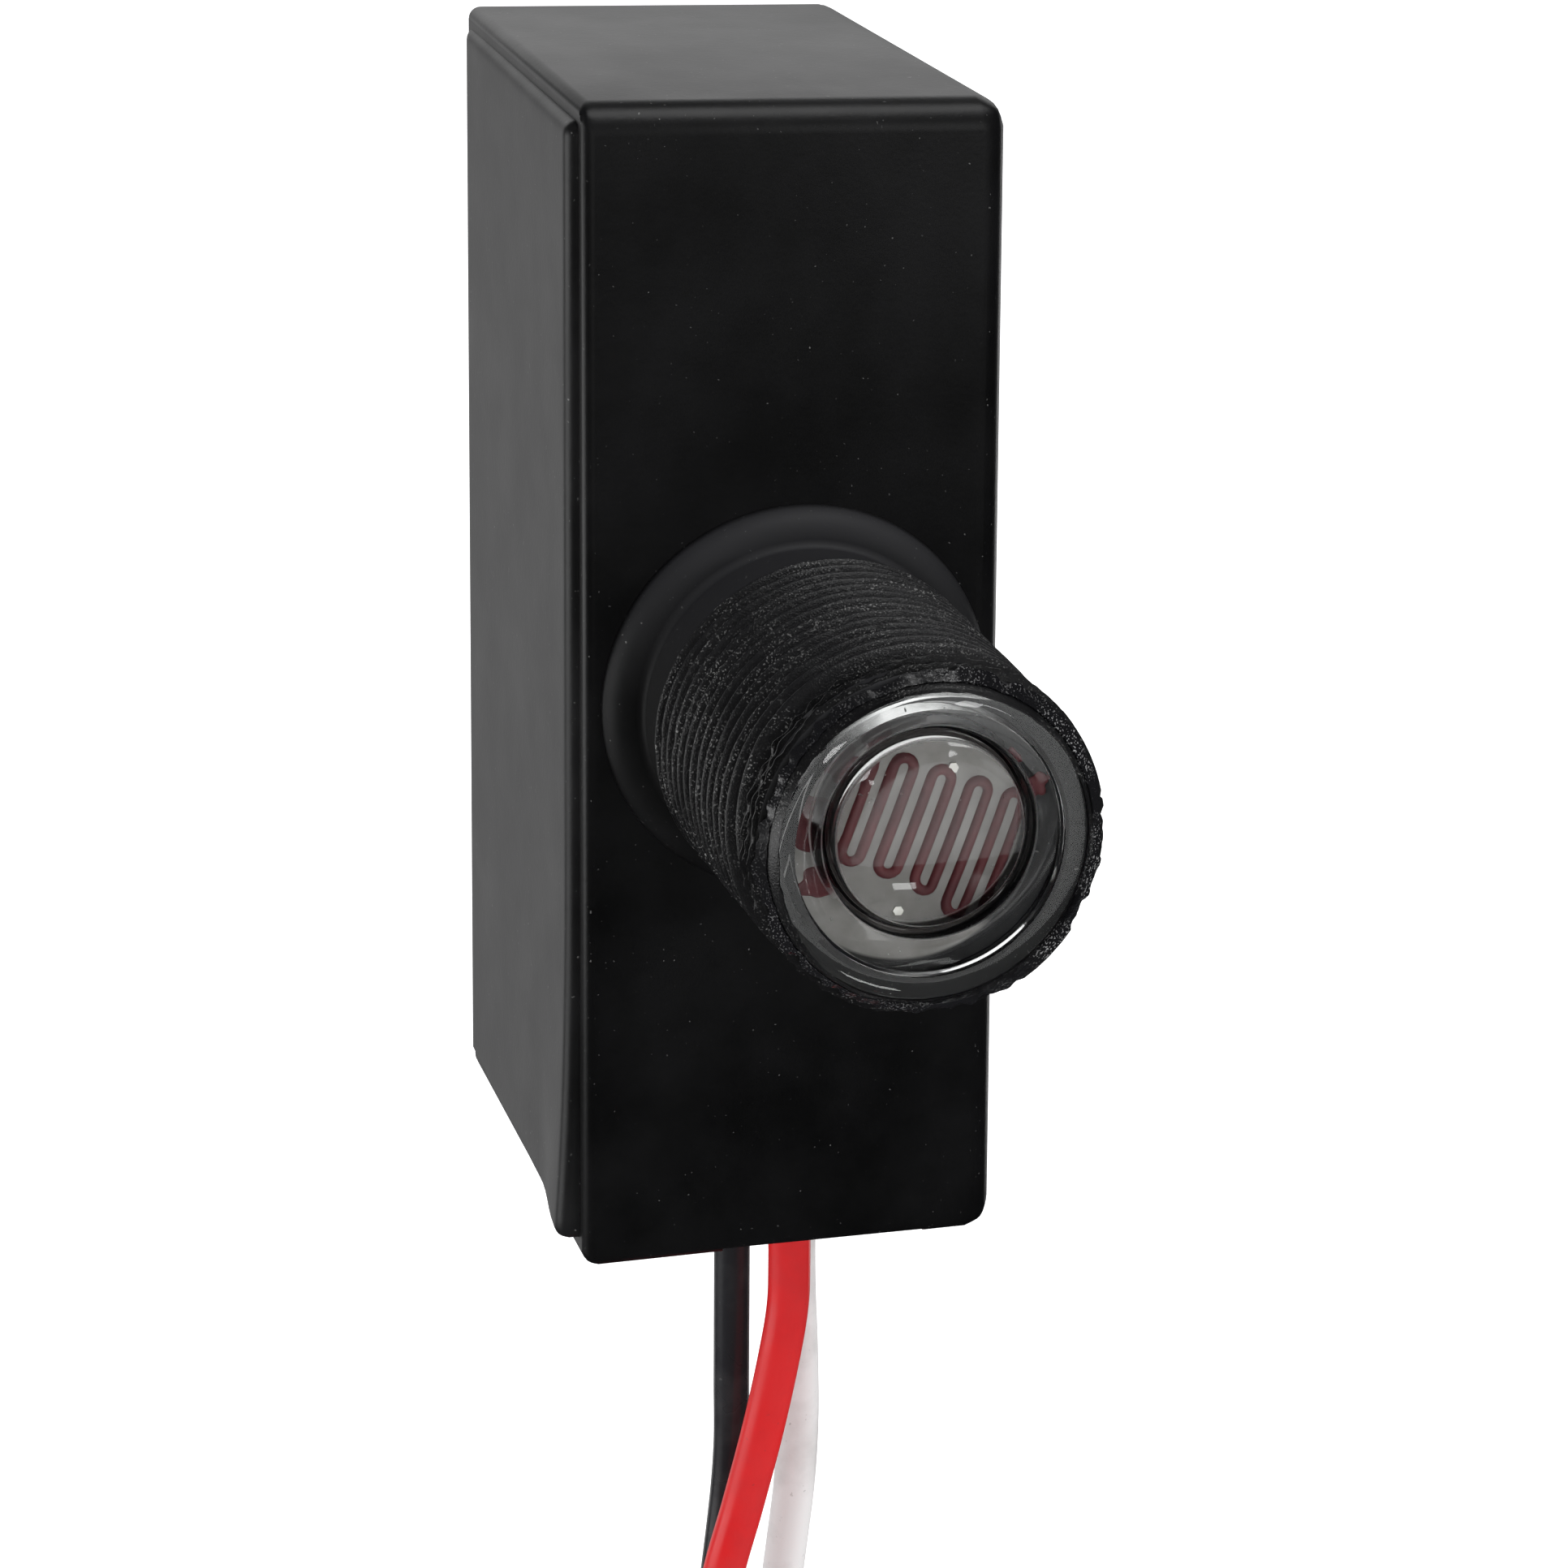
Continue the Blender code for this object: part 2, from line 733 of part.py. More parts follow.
def make_lens(material):
    half = LENS_EDGE / 2
    shoulder = LENS_RADIUS - half
    eye_edge = lens_front(RING_INNER)
    eye = [(RING_INNER * i / 4, eye_edge + EYE_RISE * (1 - (i / 4) ** 2)) for i in range(5)]
    floor = lens_front(RING_OUTER) - RING_DEPTH
    ring = [(RING_INNER + RING_DRAFT, floor), (RING_OUTER - RING_DRAFT, floor)]
    middle = (RING_OUTER + shoulder) / 2
    face = [(radius, lens_front(radius)) for radius in (RING_OUTER, middle, shoulder)]
    edge = arc((shoulder, LENS_SEAT + half), half, 70, -90, 5)
    spigot = BORE_RADIUS - CLEARANCE
    under = LENS_SEAT - SPIGOT_LENGTH
    profile = [
        *eye,
        *ring,
        *face,
        *edge,
        (spigot, LENS_SEAT),
        (spigot, under + SPIGOT_CHAMFER),
        (spigot - SPIGOT_CHAMFER, under),
        (0, under),
    ]
    move_eye(realised(turned("lens profile", profile, steps=32), "lens", material))


def make_seal(material):
    """The bead of adhesive in the corner between the lens and the nozzle's end."""
    inner = LENS_RADIUS + CLEARANCE / 2
    base = NOZZLE_LENGTH + CLEARANCE
    profile = [
        (inner, base + SEAL_WIDTH),
        (inner + SEAL_WIDTH * 0.6, base + SEAL_WIDTH * 0.55),
        (inner + SEAL_WIDTH, base),
        (inner, base),
    ]
    turned("lens_seal", profile, steps=32, material=material, closed=True)


def cell_face():
    """How far out from the front face the cell's face stands."""
    return LENS_SEAT - SPIGOT_LENGTH - CELL_GAP


def track_route():
    """The cell's serpentine, as points in the plane of its face."""
    points = []
    radius = TRACK_PITCH / 2
    for run in range(TRACK_RUNS):
        across = (run - (TRACK_RUNS - 1) / 2) * TRACK_PITCH
        way = 1 if run % 2 else -1
        points.append((across, way * TRACK_HALF_LENGTH))
        if run == TRACK_RUNS - 1:
            points.append((across, -way * TRACK_HALF_LENGTH))
            break
        centre = across + radius
        for i in range(5):
            angle = math.pi - math.pi * i / 4
            end = TRACK_HALF_LENGTH + radius * math.sin(angle)
            points.append((centre + radius * math.cos(angle), -way * end))
    return points


def on_cell(across, up, out):
    """A point given in the tilted frame of the cell."""
    side = across * math.cos(CELL_TILT) + up * math.sin(CELL_TILT)
    height = up * math.cos(CELL_TILT) - across * math.sin(CELL_TILT)
    return Vector((side, -out, height))


def make_cell(ceramic, wire, sleeve):
    face = cell_face()
    profile = [
        (0, face),
        (CELL_RADIUS - CELL_CHAMFER, face),
        (CELL_RADIUS, face - CELL_CHAMFER),
        (CELL_RADIUS, face - CELL_THICKNESS),
        (0, face - CELL_THICKNESS),
    ]
    disc = turned("cell_disc", profile, steps=32, material=ceramic)
    track = [on_cell(across, up, face) for across, up in track_route()]
    boolean(disc, solid_tube("cell track", track, TRACK_WIDTH / 2, resolution=0))

    ends = {"a": CELL_LEAD_OFFSET, "b": -CELL_LEAD_OFFSET}
    holes = []
    for letter, up in ends.items():
        start = on_cell(0, up, face + CELL_LEAD_PROUD)
        straight = on_cell(0, up, 0.0)
        holes.append((on_cell(0, up, face + OVERSHOOT), on_cell(0, up, NOZZLE_LENGTH / 2)))
        height = up * 0.9
        behind = BOARD_BACK + PIN_STICKOUT
        landing = Vector((behind, BOARD_FRONT + CELL_LANDING, height + CELL_DROP))
        pin_places.append((landing.y, landing.z))
        knots = [
            start,
            on_cell(0, up, face - CELL_LEAD_STRAIGHT),
            on_cell(0, up, NOZZLE_LENGTH / 2),
            straight,
            (BOARD_FACE - CELL_LEAD_BEND, landing.y, landing.z),
            (BOARD_FACE - CELL_LEAD_ENTRY, landing.y, landing.z),
            landing,
        ]
        route = smooth_route(knots, CELL_LEAD_SPACING)
        tube(f"cell_lead_{letter}", route, CELL_LEAD_RADIUS, wire, 1)
        back = face - CELL_THICKNESS - HOLDER_THICKNESS - SLEEVE_MARGIN
        covered = [p for p in route if p.y > -back and p.x < BOARD_FACE - SLEEVE_MARGIN]
        make_sleeve(f"cell_sleeve_{letter}", covered, sleeve)
    boolean(disc, joined_rods("cell lead holes", holes, CELL_LEAD_RADIUS + CLEARANCE))
    smooth(disc)
    return holes


def make_sleeve(name, route, material):
    """An open-ended insulating sleeve along part of a cell lead."""
    sleeve = solid_tube(name, route, SLEEVE_RADIUS, material, 1)
    longer = [2 * route[0] - route[1], *route, 2 * route[-1] - route[-2]]
    bore = CELL_LEAD_RADIUS + CLEARANCE / 2
    boolean(sleeve, solid_tube(f"{name} bore", longer, bore, resolution=1))
    smooth(sleeve, 50)


def make_holder(holes, material):
    """The moulded cup that centres the cell in the bore and spaces its leads."""
    face = cell_face()
    back = face - CELL_THICKNESS - CLEARANCE
    outer = BORE_RADIUS - CLEARANCE
    inner = CELL_RADIUS + CLEARANCE
    profile = [
        (0, back),
        (inner, back),
        (inner, face - CLEARANCE),
        (outer, face - CLEARANCE),
        (outer, back - HOLDER_THICKNESS),
        (inner - HOLDER_LIP, back - HOLDER_THICKNESS),
        (inner - HOLDER_LIP, back - HOLDER_THICKNESS / 2),
        (0, back - HOLDER_THICKNESS / 2),
    ]
    holder = turned("cell_holder", profile, steps=32, material=material)
    boolean(holder, joined_rods("holder lead holes", holes, CELL_LEAD_RADIUS + CLEARANCE))
    smooth(holder)


# Circuit board and its components


def add_pins(obj, places, reach):
    """Joins straight pins to a component, from inside it through the board."""
    start, end = BOARD_FACE - CLEARANCE - reach, BOARD_BACK + PIN_STICKOUT
    rods = [((start, depth, height), (end, depth, height)) for depth, height in places]
    pin_places.extend(places)
    boolean(obj, joined_rods(f"{obj.name} pins", rods, PIN_RADIUS, PIN_SIDES), "UNION")


def make_block_component(name, centre, size, pins, material, radius):
    """A boxed component that stands on the board, with pins at offsets from its centre."""
    depth, height = centre
    face = BOARD_FACE - CLEARANCE
    block = plain_box(
        name,
        (face - size[0], depth - size[1] / 2, height - size[2] / 2),
        (face, depth + size[1] / 2, height + size[2] / 2),
        material,
    )
    bevel(block, radius, 2)
    add_pins(block, [(depth + d, height + h) for d, h in pins], PIN_GRIP)
    smooth(block, 35)


def make_can(centre, material):
    """An electrolytic can that stands on the board, with its rolled groove."""
    edge = CAN_RADIUS * 0.12
    groove = CAN_HEIGHT * 0.18
    profile = [
        (0, CAN_HEIGHT),
        (CAN_RADIUS - edge, CAN_HEIGHT),
        (CAN_RADIUS, CAN_HEIGHT - edge),
        (CAN_RADIUS, groove + edge),
        (CAN_RADIUS - edge, groove),
        (CAN_RADIUS, groove - edge),
        (CAN_RADIUS, edge),
        (CAN_RADIUS - edge, 0.0),
        (0, 0.0),
    ]
    can = turned("smoothing_capacitor", profile, steps=20, material=material)
    can.rotation_euler = (0, -math.pi / 2, 0)
    can.location = (BOARD_FACE - CLEARANCE, *centre)
    can = realised(can, "smoothing_capacitor", material)
    add_pins(can, [(centre[0], centre[1] + s * CAN_PIN_PITCH / 2) for s in (-1, 1)], PIN_GRIP)
    smooth(can, 35)


def make_varistor(centre, material):
    """A coated disc on edge: its flat sides face up and down the board."""
    face = BOARD_FACE - CLEARANCE - VARISTOR_LIFT
    bm = bmesh.new()
    bmesh.ops.create_cone(
        bm,
        cap_ends=True,
        segments=20,
        radius1=VARISTOR_RADIUS,
        radius2=VARISTOR_RADIUS,
        depth=VARISTOR_THICKNESS,
    )
    bmesh.ops.translate(bm, vec=(face - VARISTOR_RADIUS, *centre), verts=bm.verts)
    disc = finish_mesh("surge_varistor", bm, material)
    bevel(disc, VARISTOR_THICKNESS * 0.35, 2)
    pins = [(centre[0] + s * VARISTOR_PIN_PITCH / 2, centre[1]) for s in (-1, 1)]
    add_pins(disc, pins, VARISTOR_LIFT + VARISTOR_RADIUS * 0.6)
    smooth(disc, 35)


def make_axial(name, centre, sizes, along, material):
    """A component that lies on the board: a waisted body on one bent wire. The sizes
    are its radius, its length and the distance between its wire's two feet."""
    radius, length, pitch = sizes
    axis = BOARD_FACE - CLEARANCE - radius - AXIAL_LIFT
    waist = radius * 0.88
    profile = [
        (0, length / 2),
        (radius * 0.8, length / 2),
        (radius, length / 2 - radius * 0.6),
        (waist, length / 2 - radius * 1.2),
        (waist, -length / 2 + radius * 1.2),
        (radius, -length / 2 + radius * 0.6),
        (radius * 0.8, -length / 2),
        (0, -length / 2),
    ]
    body = turned(name, profile, steps=12, material=material)
    if along == "z":
        body.rotation_euler = (0, 0, 0)
    body.location = (axis, centre[0], centre[1])
    body = realised(body, name, material)
    half = pitch / 2
    foot = BOARD_BACK + PIN_STICKOUT
    corner = (axis + AXIAL_BEND * 0.3, -half + AXIAL_BEND * 0.3)
    flat = [(foot, -half), (axis + AXIAL_BEND, -half), corner, (axis, -half + AXIAL_BEND)]
    flat += [(x, -offset) for x, offset in reversed(flat)]
    way = Vector((0, 1, 0)) if along == "y" else Vector((0, 0, 1))
    points = [Vector((x, *centre)) + way * offset for x, offset in flat]
    boolean(body, solid_tube(f"{name} wire", points, PIN_RADIUS, resolution=1), "UNION")
    for offset in (-half, half):
        shift = (offset, 0) if along == "y" else (0, offset)
        pin_places.append((centre[0] + shift[0], centre[1] + shift[1]))
    smooth(body, 35)


def make_transistor(centre, material):
    """A moulded half-round body on three pins in a row."""
    foot = BOARD_FACE - CLEARANCE - TRANSISTOR_LIFT
    head = foot - TRANSISTOR_HEIGHT
    body = rod(
        "switch_transistor", (foot, *centre), (head, *centre), TRANSISTOR_RADIUS, 20, material
    )
    flat = plain_box(
        "transistor flat",
        (head - OVERSHOOT, centre[0] + TRANSISTOR_RADIUS * 0.45, centre[1] - 2 * TRANSISTOR_RADIUS),
        (foot + OVERSHOOT, centre[0] + 2 * TRANSISTOR_RADIUS, centre[1] + 2 * TRANSISTOR_RADIUS),
    )
    boolean(body, flat)
    pins = [(centre[0], centre[1] + s * TRANSISTOR_PIN_PITCH) for s in (-1, 0, 1)]
    add_pins(body, pins, TRANSISTOR_LIFT + PIN_GRIP)
    smooth(body, 35)


def make_components(colours):
    """Two groups: one stands up from the board's bottom edge, one hangs from its top."""
    varistor_depth = BOARD_FRONT + SOLDER_WIDTH + VARISTOR_RADIUS
    make_varistor((varistor_depth, BOARD_BOTTOM + SOLDER_HEIGHT / 2), colours["varistor"])
    relay_height = BOARD_BOTTOM + SOLDER_HEIGHT + RELAY_SIZE[2] / 2
    rows = RELAY_PIN_ROWS / 2
    ends = RELAY_SIZE[1] * 0.4
    make_block_component(
        "relay",
        (BOARD_MIDDLE, relay_height),
        RELAY_SIZE,
        [(ends, rows), (ends, -rows), (-ends * 0.7, rows), (-ends * 0.7, -rows), (-ends, 0.0)],
        colours["relay"],
        RELAY_CORNER,
    )
    diode_height = relay_height + RELAY_SIZE[2] / 2 + ROW_GAP + DIODE_PIN_PITCH / 2
    for index in range(4):
        make_axial(
            f"rectifier_diode_{index + 1}",
            (BOARD_MIDDLE + (index - 1.5) * DIODE_LANE, diode_height),
            (DIODE_RADIUS, DIODE_LENGTH, DIODE_PIN_PITCH),
            "z",
            colours["diode"],
        )
    load_height = BOARD_TOP - ROW_GAP - LOAD_RESISTOR_RADIUS
    make_axial(
        "load_resistor",
        (BOARD_MIDDLE, load_height),
        (LOAD_RESISTOR_RADIUS, RESISTOR_LENGTH, LOAD_RESISTOR_PITCH),
        "y",
        colours["resistor"],
    )
    can_height = load_height - LOAD_RESISTOR_RADIUS - ROW_GAP - CAN_RADIUS
    can_depth = BOARD_MIDDLE - CAN_RADIUS + RELAY_CORNER
    make_can((can_depth, can_height), colours["can"])
    transistor_depth = can_depth + CAN_RADIUS + ROW_GAP + TRANSISTOR_RADIUS
    make_transistor((transistor_depth, can_height), colours["diode"])
    zener_depth = transistor_depth + TRANSISTOR_RADIUS + ROW_GAP + ZENER_RADIUS
    make_axial(
        "zener_diode",
        (zener_depth, can_height),
        (ZENER_RADIUS, ZENER_LENGTH, ZENER_PIN_PITCH),
        "z",
        colours["zener"],
    )
    make_axial(
        "cell_resistor",
        (BOARD_FRONT + CELL_RESISTOR_INSET, can_height - CAN_RADIUS),
        (CELL_RESISTOR_RADIUS, RESISTOR_LENGTH, CELL_RESISTOR_PITCH),
        "z",
        colours["resistor"],
    )
    dropper_height = can_height - CAN_RADIUS - ROW_GAP - DROPPER_SIZE[2] / 2
    pitch = DROPPER_PIN_PITCH / 2
    make_block_component(
        "dropper_capacitor",
        (BOARD_REAR - ROW_GAP - DROPPER_SIZE[1] / 2, dropper_height),
        DROPPER_SIZE,
        [(-pitch, 0.0), (pitch, 0.0)],
        colours["film"],
        DROPPER_CORNER,
    )


def make_board(material):
    """The board, with a hole for each stake and each pin."""
    board = plain_box(
        "circuit_board",
        (BOARD_FACE, BOARD_FRONT, BOARD_BOTTOM),
        (BOARD_BACK, BOARD_REAR, BOARD_TOP),
        material,
    )
    low, high = BOARD_FACE - OVERSHOOT, BOARD_BACK + OVERSHOOT
    stakes = [((low, d, h), (high, d, h)) for d, h in post_places()]
    boolean(board, joined_rods("stake holes", stakes, STAKE_RADIUS + CLEARANCE, 12))
    pins = [((low, d, h), (high, d, h)) for d, h in pin_places]
    boolean(board, joined_rods("pin holes", pins, PIN_RADIUS + PIN_CLEARANCE, PIN_SIDES))
    soldered = [((low, d, h), (high, d, h)) for d, h in solder_places]
    boolean(board, joined_rods("solder holes", soldered, BARE_RADIUS + PIN_CLEARANCE, 8))


# Leads and bushing

LEAD_ROUTES = {
    "black": [
        (0.0026, 0.0122, -0.0256),
        (0.0021, 0.0123, -0.0282),
        (0.0006, 0.0127, -0.0314),
        (-0.0003, 0.0128, -0.0340),
        (-0.0003, 0.0128, -0.0412),
        (-0.0003, 0.0128, -0.0454),
        (-0.0003, 0.0128, -0.0499),
        (-0.0003, 0.0128, -0.0545),
        (-0.0007, 0.0129, -0.0598),
        (-0.0018, 0.0130, -0.0690),
        (-0.0034, 0.0132, -0.0820),
        (-0.0042, 0.0134, -0.0980),
        (-0.0040, 0.0136, -0.1140),
        (-0.0034, 0.0136, -0.1300),
        (-0.0034, 0.0134, -0.1460),
        (-0.0038, 0.0131, -0.1620),
        (-0.0041, 0.0130, -0.1760),
    ],
    "red": [
        (0.0052, 0.0082, -0.0256),
        (0.0048, 0.0084, -0.0280),
        (0.0034, 0.0089, -0.0312),
        (0.0025, 0.0092, -0.0345),
        (0.0025, 0.0092, -0.0404),
        (0.0024, 0.0092, -0.0437),
        (0.0018, 0.0092, -0.0474),
        (0.0008, 0.0091, -0.0519),
        (-0.0005, 0.0091, -0.0570),
        (-0.0019, 0.0090, -0.0620),
        (-0.0036, 0.0088, -0.0700),
        (-0.0050, 0.0086, -0.0820),
        (-0.0047, 0.0085, -0.0980),
        (-0.0030, 0.0086, -0.1140),
        (-0.0010, 0.0088, -0.1300),
        (0.0002, 0.0090, -0.1460),
        (0.0007, 0.0092, -0.1620),
        (0.0008, 0.0093, -0.1760),
    ],
    "white": [
        (0.0055, 0.0154, -0.0256),
        (0.0054, 0.0155, -0.0280),
        (0.0050, 0.0157, -0.0310),
        (0.0047, 0.0158, -0.0345),
        (0.0047, 0.0158, -0.0437),
        (0.0049, 0.0158, -0.0490),
        (0.0050, 0.0158, -0.0539),
        (0.0048, 0.0158, -0.0585),
        (0.0043, 0.0158, -0.0630),
        (0.0034, 0.0157, -0.0700),
        (0.0022, 0.0156, -0.0820),
        (0.0020, 0.0155, -0.0980),
        (0.0028, 0.0154, -0.1140),
        (0.0038, 0.0153, -0.1300),
        (0.0044, 0.0152, -0.1460),
        (0.0046, 0.0151, -0.1620),
        (0.0046, 0.0150, -0.1760),
    ],
}


def lead_radius(name):
    return BLACK_LEAD_RADIUS if name == "black" else COLOUR_LEAD_RADIUS


def lead_route(name):
    return smooth_route(LEAD_ROUTES[name], LEAD_SPACING)


def make_leads(colours, tinned):
    """Each lead runs from the board through the bushing and hangs, with a bare end."""
    for name in LEAD_ROUTES:
        route = lead_route(name)
        tube(f"{name}_lead", route, lead_radius(name), colours[name])
        down = (route[-1] - route[-2]).normalized()
        start = route[-1] + down * CLEARANCE
        steps = 3
        bare = [start + down * (BARE_LENGTH * i / steps) for i in range(steps + 1)]
        tube(f"{name}_bare_end", bare, BARE_RADIUS, tinned)
        make_solder_end(name, route, tinned)


def make_solder_end(name, route, tinned):
    """The lead's stripped inner end, bent over into its hole in the board."""
    top = route[0]
    up = (route[0] - route[1]).normalized()
    across = BOARD_BACK + PIN_STICKOUT
    start = top + up * CLEARANCE
    height = start.z + SOLDER_BEND
    turn = [
        Vector(
            (
                start.x + SOLDER_BEND * (1 - math.cos(math.radians(step))),
                start.y,
                start.z + SOLDER_BEND * math.sin(math.radians(step)),
            )
        )
        for step in (0, 30, 60, 90)
    ]
    tube(f"{name}_solder_end", [*turn, Vector((across, start.y, height))], BARE_RADIUS, tinned, 1)
    solder_places.append((start.y, height))


def make_bushing(material):
    """The insert in the bottom wall: a flanged block with a hole for each lead."""
    across, depth = BUSHING_CENTRE
    half_x, half_y = BUSHING_LENGTH / 2, BUSHING_WIDTH / 2
    floor = -BOTTOM_HEIGHT + RELIEF_DEPTH + BUSHING_RECESS
    shelf = bottom_at(across, depth + half_y + BUSHING_FLANGE) + WALL + CLEARANCE
    body = plain_box(
        "lead_bushing",
        (across - half_x, depth - half_y, floor),
        (across + half_x, depth + half_y, shelf + BUSHING_STEM),
        material,
    )
    bevel(body, BUSHING_CORNER, 3)
    flange = plain_box(
        "bushing flange",
        (across - half_x - BUSHING_FLANGE, depth - half_y - BUSHING_FLANGE, shelf),
        (across + half_x + BUSHING_FLANGE, depth + half_y + BUSHING_FLANGE, shelf + FLANGE_THICKNESS),
    )
    bevel(flange, FLANGE_CORNER, 3, angle=50)
    boolean(body, flange, "UNION")
    for name in LEAD_ROUTES:
        route = lead_route(name)
        below = max(i for i, point in enumerate(route) if point.z > floor)
        path = route[: below + 3]
        boolean(body, solid_tube(f"{name} lead hole", path, lead_radius(name) + CLEARANCE))
    smooth(body, 35)


def main():
    global parts, cutters
    clear_scene()
    parts = new_collection("photocell switch")
    cutters = new_collection("cutters", hidden=True)

    black = new_material("black moulding", (0.012, 0.012, 0.013), 0.42)
    cover_black = new_material("cover moulding", (0.030, 0.030, 0.031), 0.48)
    clear = new_material("clear lens", (0.95, 0.96, 0.95), 0.03, transmission=1.0)
    glue = new_material("adhesive", (0.45, 0.46, 0.46), 0.35)
    ceramic = new_material("cell ceramic", (0.62, 0.60, 0.56), 0.45)
    tinned = new_material("tinned wire", (0.72, 0.72, 0.70), 0.30, metallic=1.0)
    sleeving = new_material("sleeving", (0.70, 0.66, 0.52), 0.60)
    holder = new_material("holder moulding", (0.55, 0.54, 0.50), 0.50)
    laminate = new_material("board laminate", (0.36, 0.24, 0.10), 0.55)
    rubber = new_material("bushing moulding", (0.015, 0.015, 0.016), 0.60)
    components = {
        "relay": new_material("relay case", (0.03, 0.10, 0.30), 0.35),
        "film": new_material("film capacitor", (0.55, 0.33, 0.05), 0.40),
        "can": new_material("capacitor sleeve", (0.05, 0.06, 0.10), 0.35),
        "varistor": new_material("varistor coating", (0.05, 0.14, 0.40), 0.45),
        "diode": new_material("diode moulding", (0.02, 0.02, 0.02), 0.45),
        "zener": new_material("glass diode", (0.50, 0.18, 0.06), 0.20),
        "resistor": new_material("resistor coating", (0.45, 0.36, 0.24), 0.50),
    }
    leads = {
        "black": new_material("black insulation", (0.012, 0.012, 0.013), 0.30),
        "red": new_material("red insulation", (0.60, 0.02, 0.02), 0.35),
        "white": new_material("white insulation", (0.75, 0.74, 0.73), 0.40),
    }

    make_housing(black)
    make_cover(cover_black)
    make_lens(clear)
    make_seal(glue)
    holes = make_cell(ceramic, tinned, sleeving)
    make_holder(holes, holder)
    make_components(components)
    make_leads(leads, tinned)
    make_board(laminate)
    make_bushing(rubber)


main()
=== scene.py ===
# %% [markdown]
# # A fixed-mount photocell switch
#
# The object is a black moulded box with a threaded nozzle on its front, a clear lens on
# the nozzle's end, a separate side cover and three leads that hang from its bottom. The
# solid model is loaded first and stays as it is. Each cell below then builds one visible
# piece on it, or mixes one finish, in metres and in the solid model's own place.

# %% Load the solid model
import math
import random

import bmesh
import bpy
from mathutils import Matrix, Vector


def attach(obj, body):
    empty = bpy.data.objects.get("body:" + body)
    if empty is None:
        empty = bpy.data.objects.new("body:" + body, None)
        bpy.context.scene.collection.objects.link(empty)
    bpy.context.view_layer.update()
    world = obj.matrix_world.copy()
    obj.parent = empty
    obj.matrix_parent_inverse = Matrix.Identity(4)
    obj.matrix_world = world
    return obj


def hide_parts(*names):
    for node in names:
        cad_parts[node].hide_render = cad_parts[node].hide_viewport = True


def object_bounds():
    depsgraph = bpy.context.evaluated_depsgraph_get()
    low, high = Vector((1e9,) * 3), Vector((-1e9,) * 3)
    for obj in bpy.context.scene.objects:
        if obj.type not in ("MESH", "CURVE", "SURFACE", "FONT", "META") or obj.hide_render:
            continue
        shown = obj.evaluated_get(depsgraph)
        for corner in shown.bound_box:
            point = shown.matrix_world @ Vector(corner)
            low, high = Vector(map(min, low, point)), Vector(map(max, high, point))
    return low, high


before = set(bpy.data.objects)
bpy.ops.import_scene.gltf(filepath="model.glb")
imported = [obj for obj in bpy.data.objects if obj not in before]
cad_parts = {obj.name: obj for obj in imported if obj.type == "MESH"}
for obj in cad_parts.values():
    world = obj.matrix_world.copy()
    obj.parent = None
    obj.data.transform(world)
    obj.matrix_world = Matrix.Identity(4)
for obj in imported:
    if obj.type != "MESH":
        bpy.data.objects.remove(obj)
cad_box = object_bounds()
print("nodes in the solid model:", len(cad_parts))

# %% [markdown]
# ## The camera
#
# A photograph fixes where its camera stood. The angle around the object, the height and
# the distance are named here, and the camera's place and its three directions are worked
# out from them, so each can be changed alone. The lens is long, because the object is
# small and was taken from close to half a metre away with little perspective.

# %% Place the camera
CAMERA_AZIMUTH = math.radians(-15.606)
CAMERA_ELEVATION = math.radians(18.189)
CAMERA_ROLL = math.radians(0.411)
CAMERA_DISTANCE = 0.4684
AIM_RIGHT = -0.000223
AIM_UP = -0.005494
FOCAL_PIXELS = 9521.8
IMAGE_PIXELS = 1932
SENSOR = 36.0

level = math.cos(CAMERA_ELEVATION)
towards = Vector((
    -math.sin(CAMERA_AZIMUTH) * level,
    math.cos(CAMERA_AZIMUTH) * level,
    -math.sin(CAMERA_ELEVATION),
))
side = towards.cross(Vector((0, 0, 1))).normalized()
upward = side.cross(towards)
turned_side = side * math.cos(CAMERA_ROLL) + upward * math.sin(CAMERA_ROLL)
turned_up = upward * math.cos(CAMERA_ROLL) - side * math.sin(CAMERA_ROLL)
eye = -towards * CAMERA_DISTANCE + turned_side * AIM_RIGHT + turned_up * AIM_UP

bpy.ops.object.camera_add(location=eye)
camera = bpy.context.object
camera.name = "photo_camera"
facing = Matrix((turned_side, turned_up, -towards)).transposed()
camera.rotation_euler = facing.to_euler()
camera.data.sensor_width = SENSOR
camera.data.lens = FOCAL_PIXELS / IMAGE_PIXELS * SENSOR
camera.data.shift_x = -0.00439
camera.data.shift_y = 0.00154
camera.data.clip_start = 0.01
camera.data.clip_end = 20
bpy.context.scene.camera = camera
print("camera:", [round(c, 4) for c in eye], "lens:", round(camera.data.lens, 1), "mm")

# %% [markdown]
# ## The three leads
#
# The real leads are stranded copper in a soft plastic coat: a thinner black one, and a red
# and a white one. They leave a bushing in the bottom wall, lean on one another for a few
# centimetres and hang straight down to short bare ends. A lead is best made as a curve
# with a round section, because its length and its thickness then stay what they are
# however it is bent. The points below are the solid model's own route.

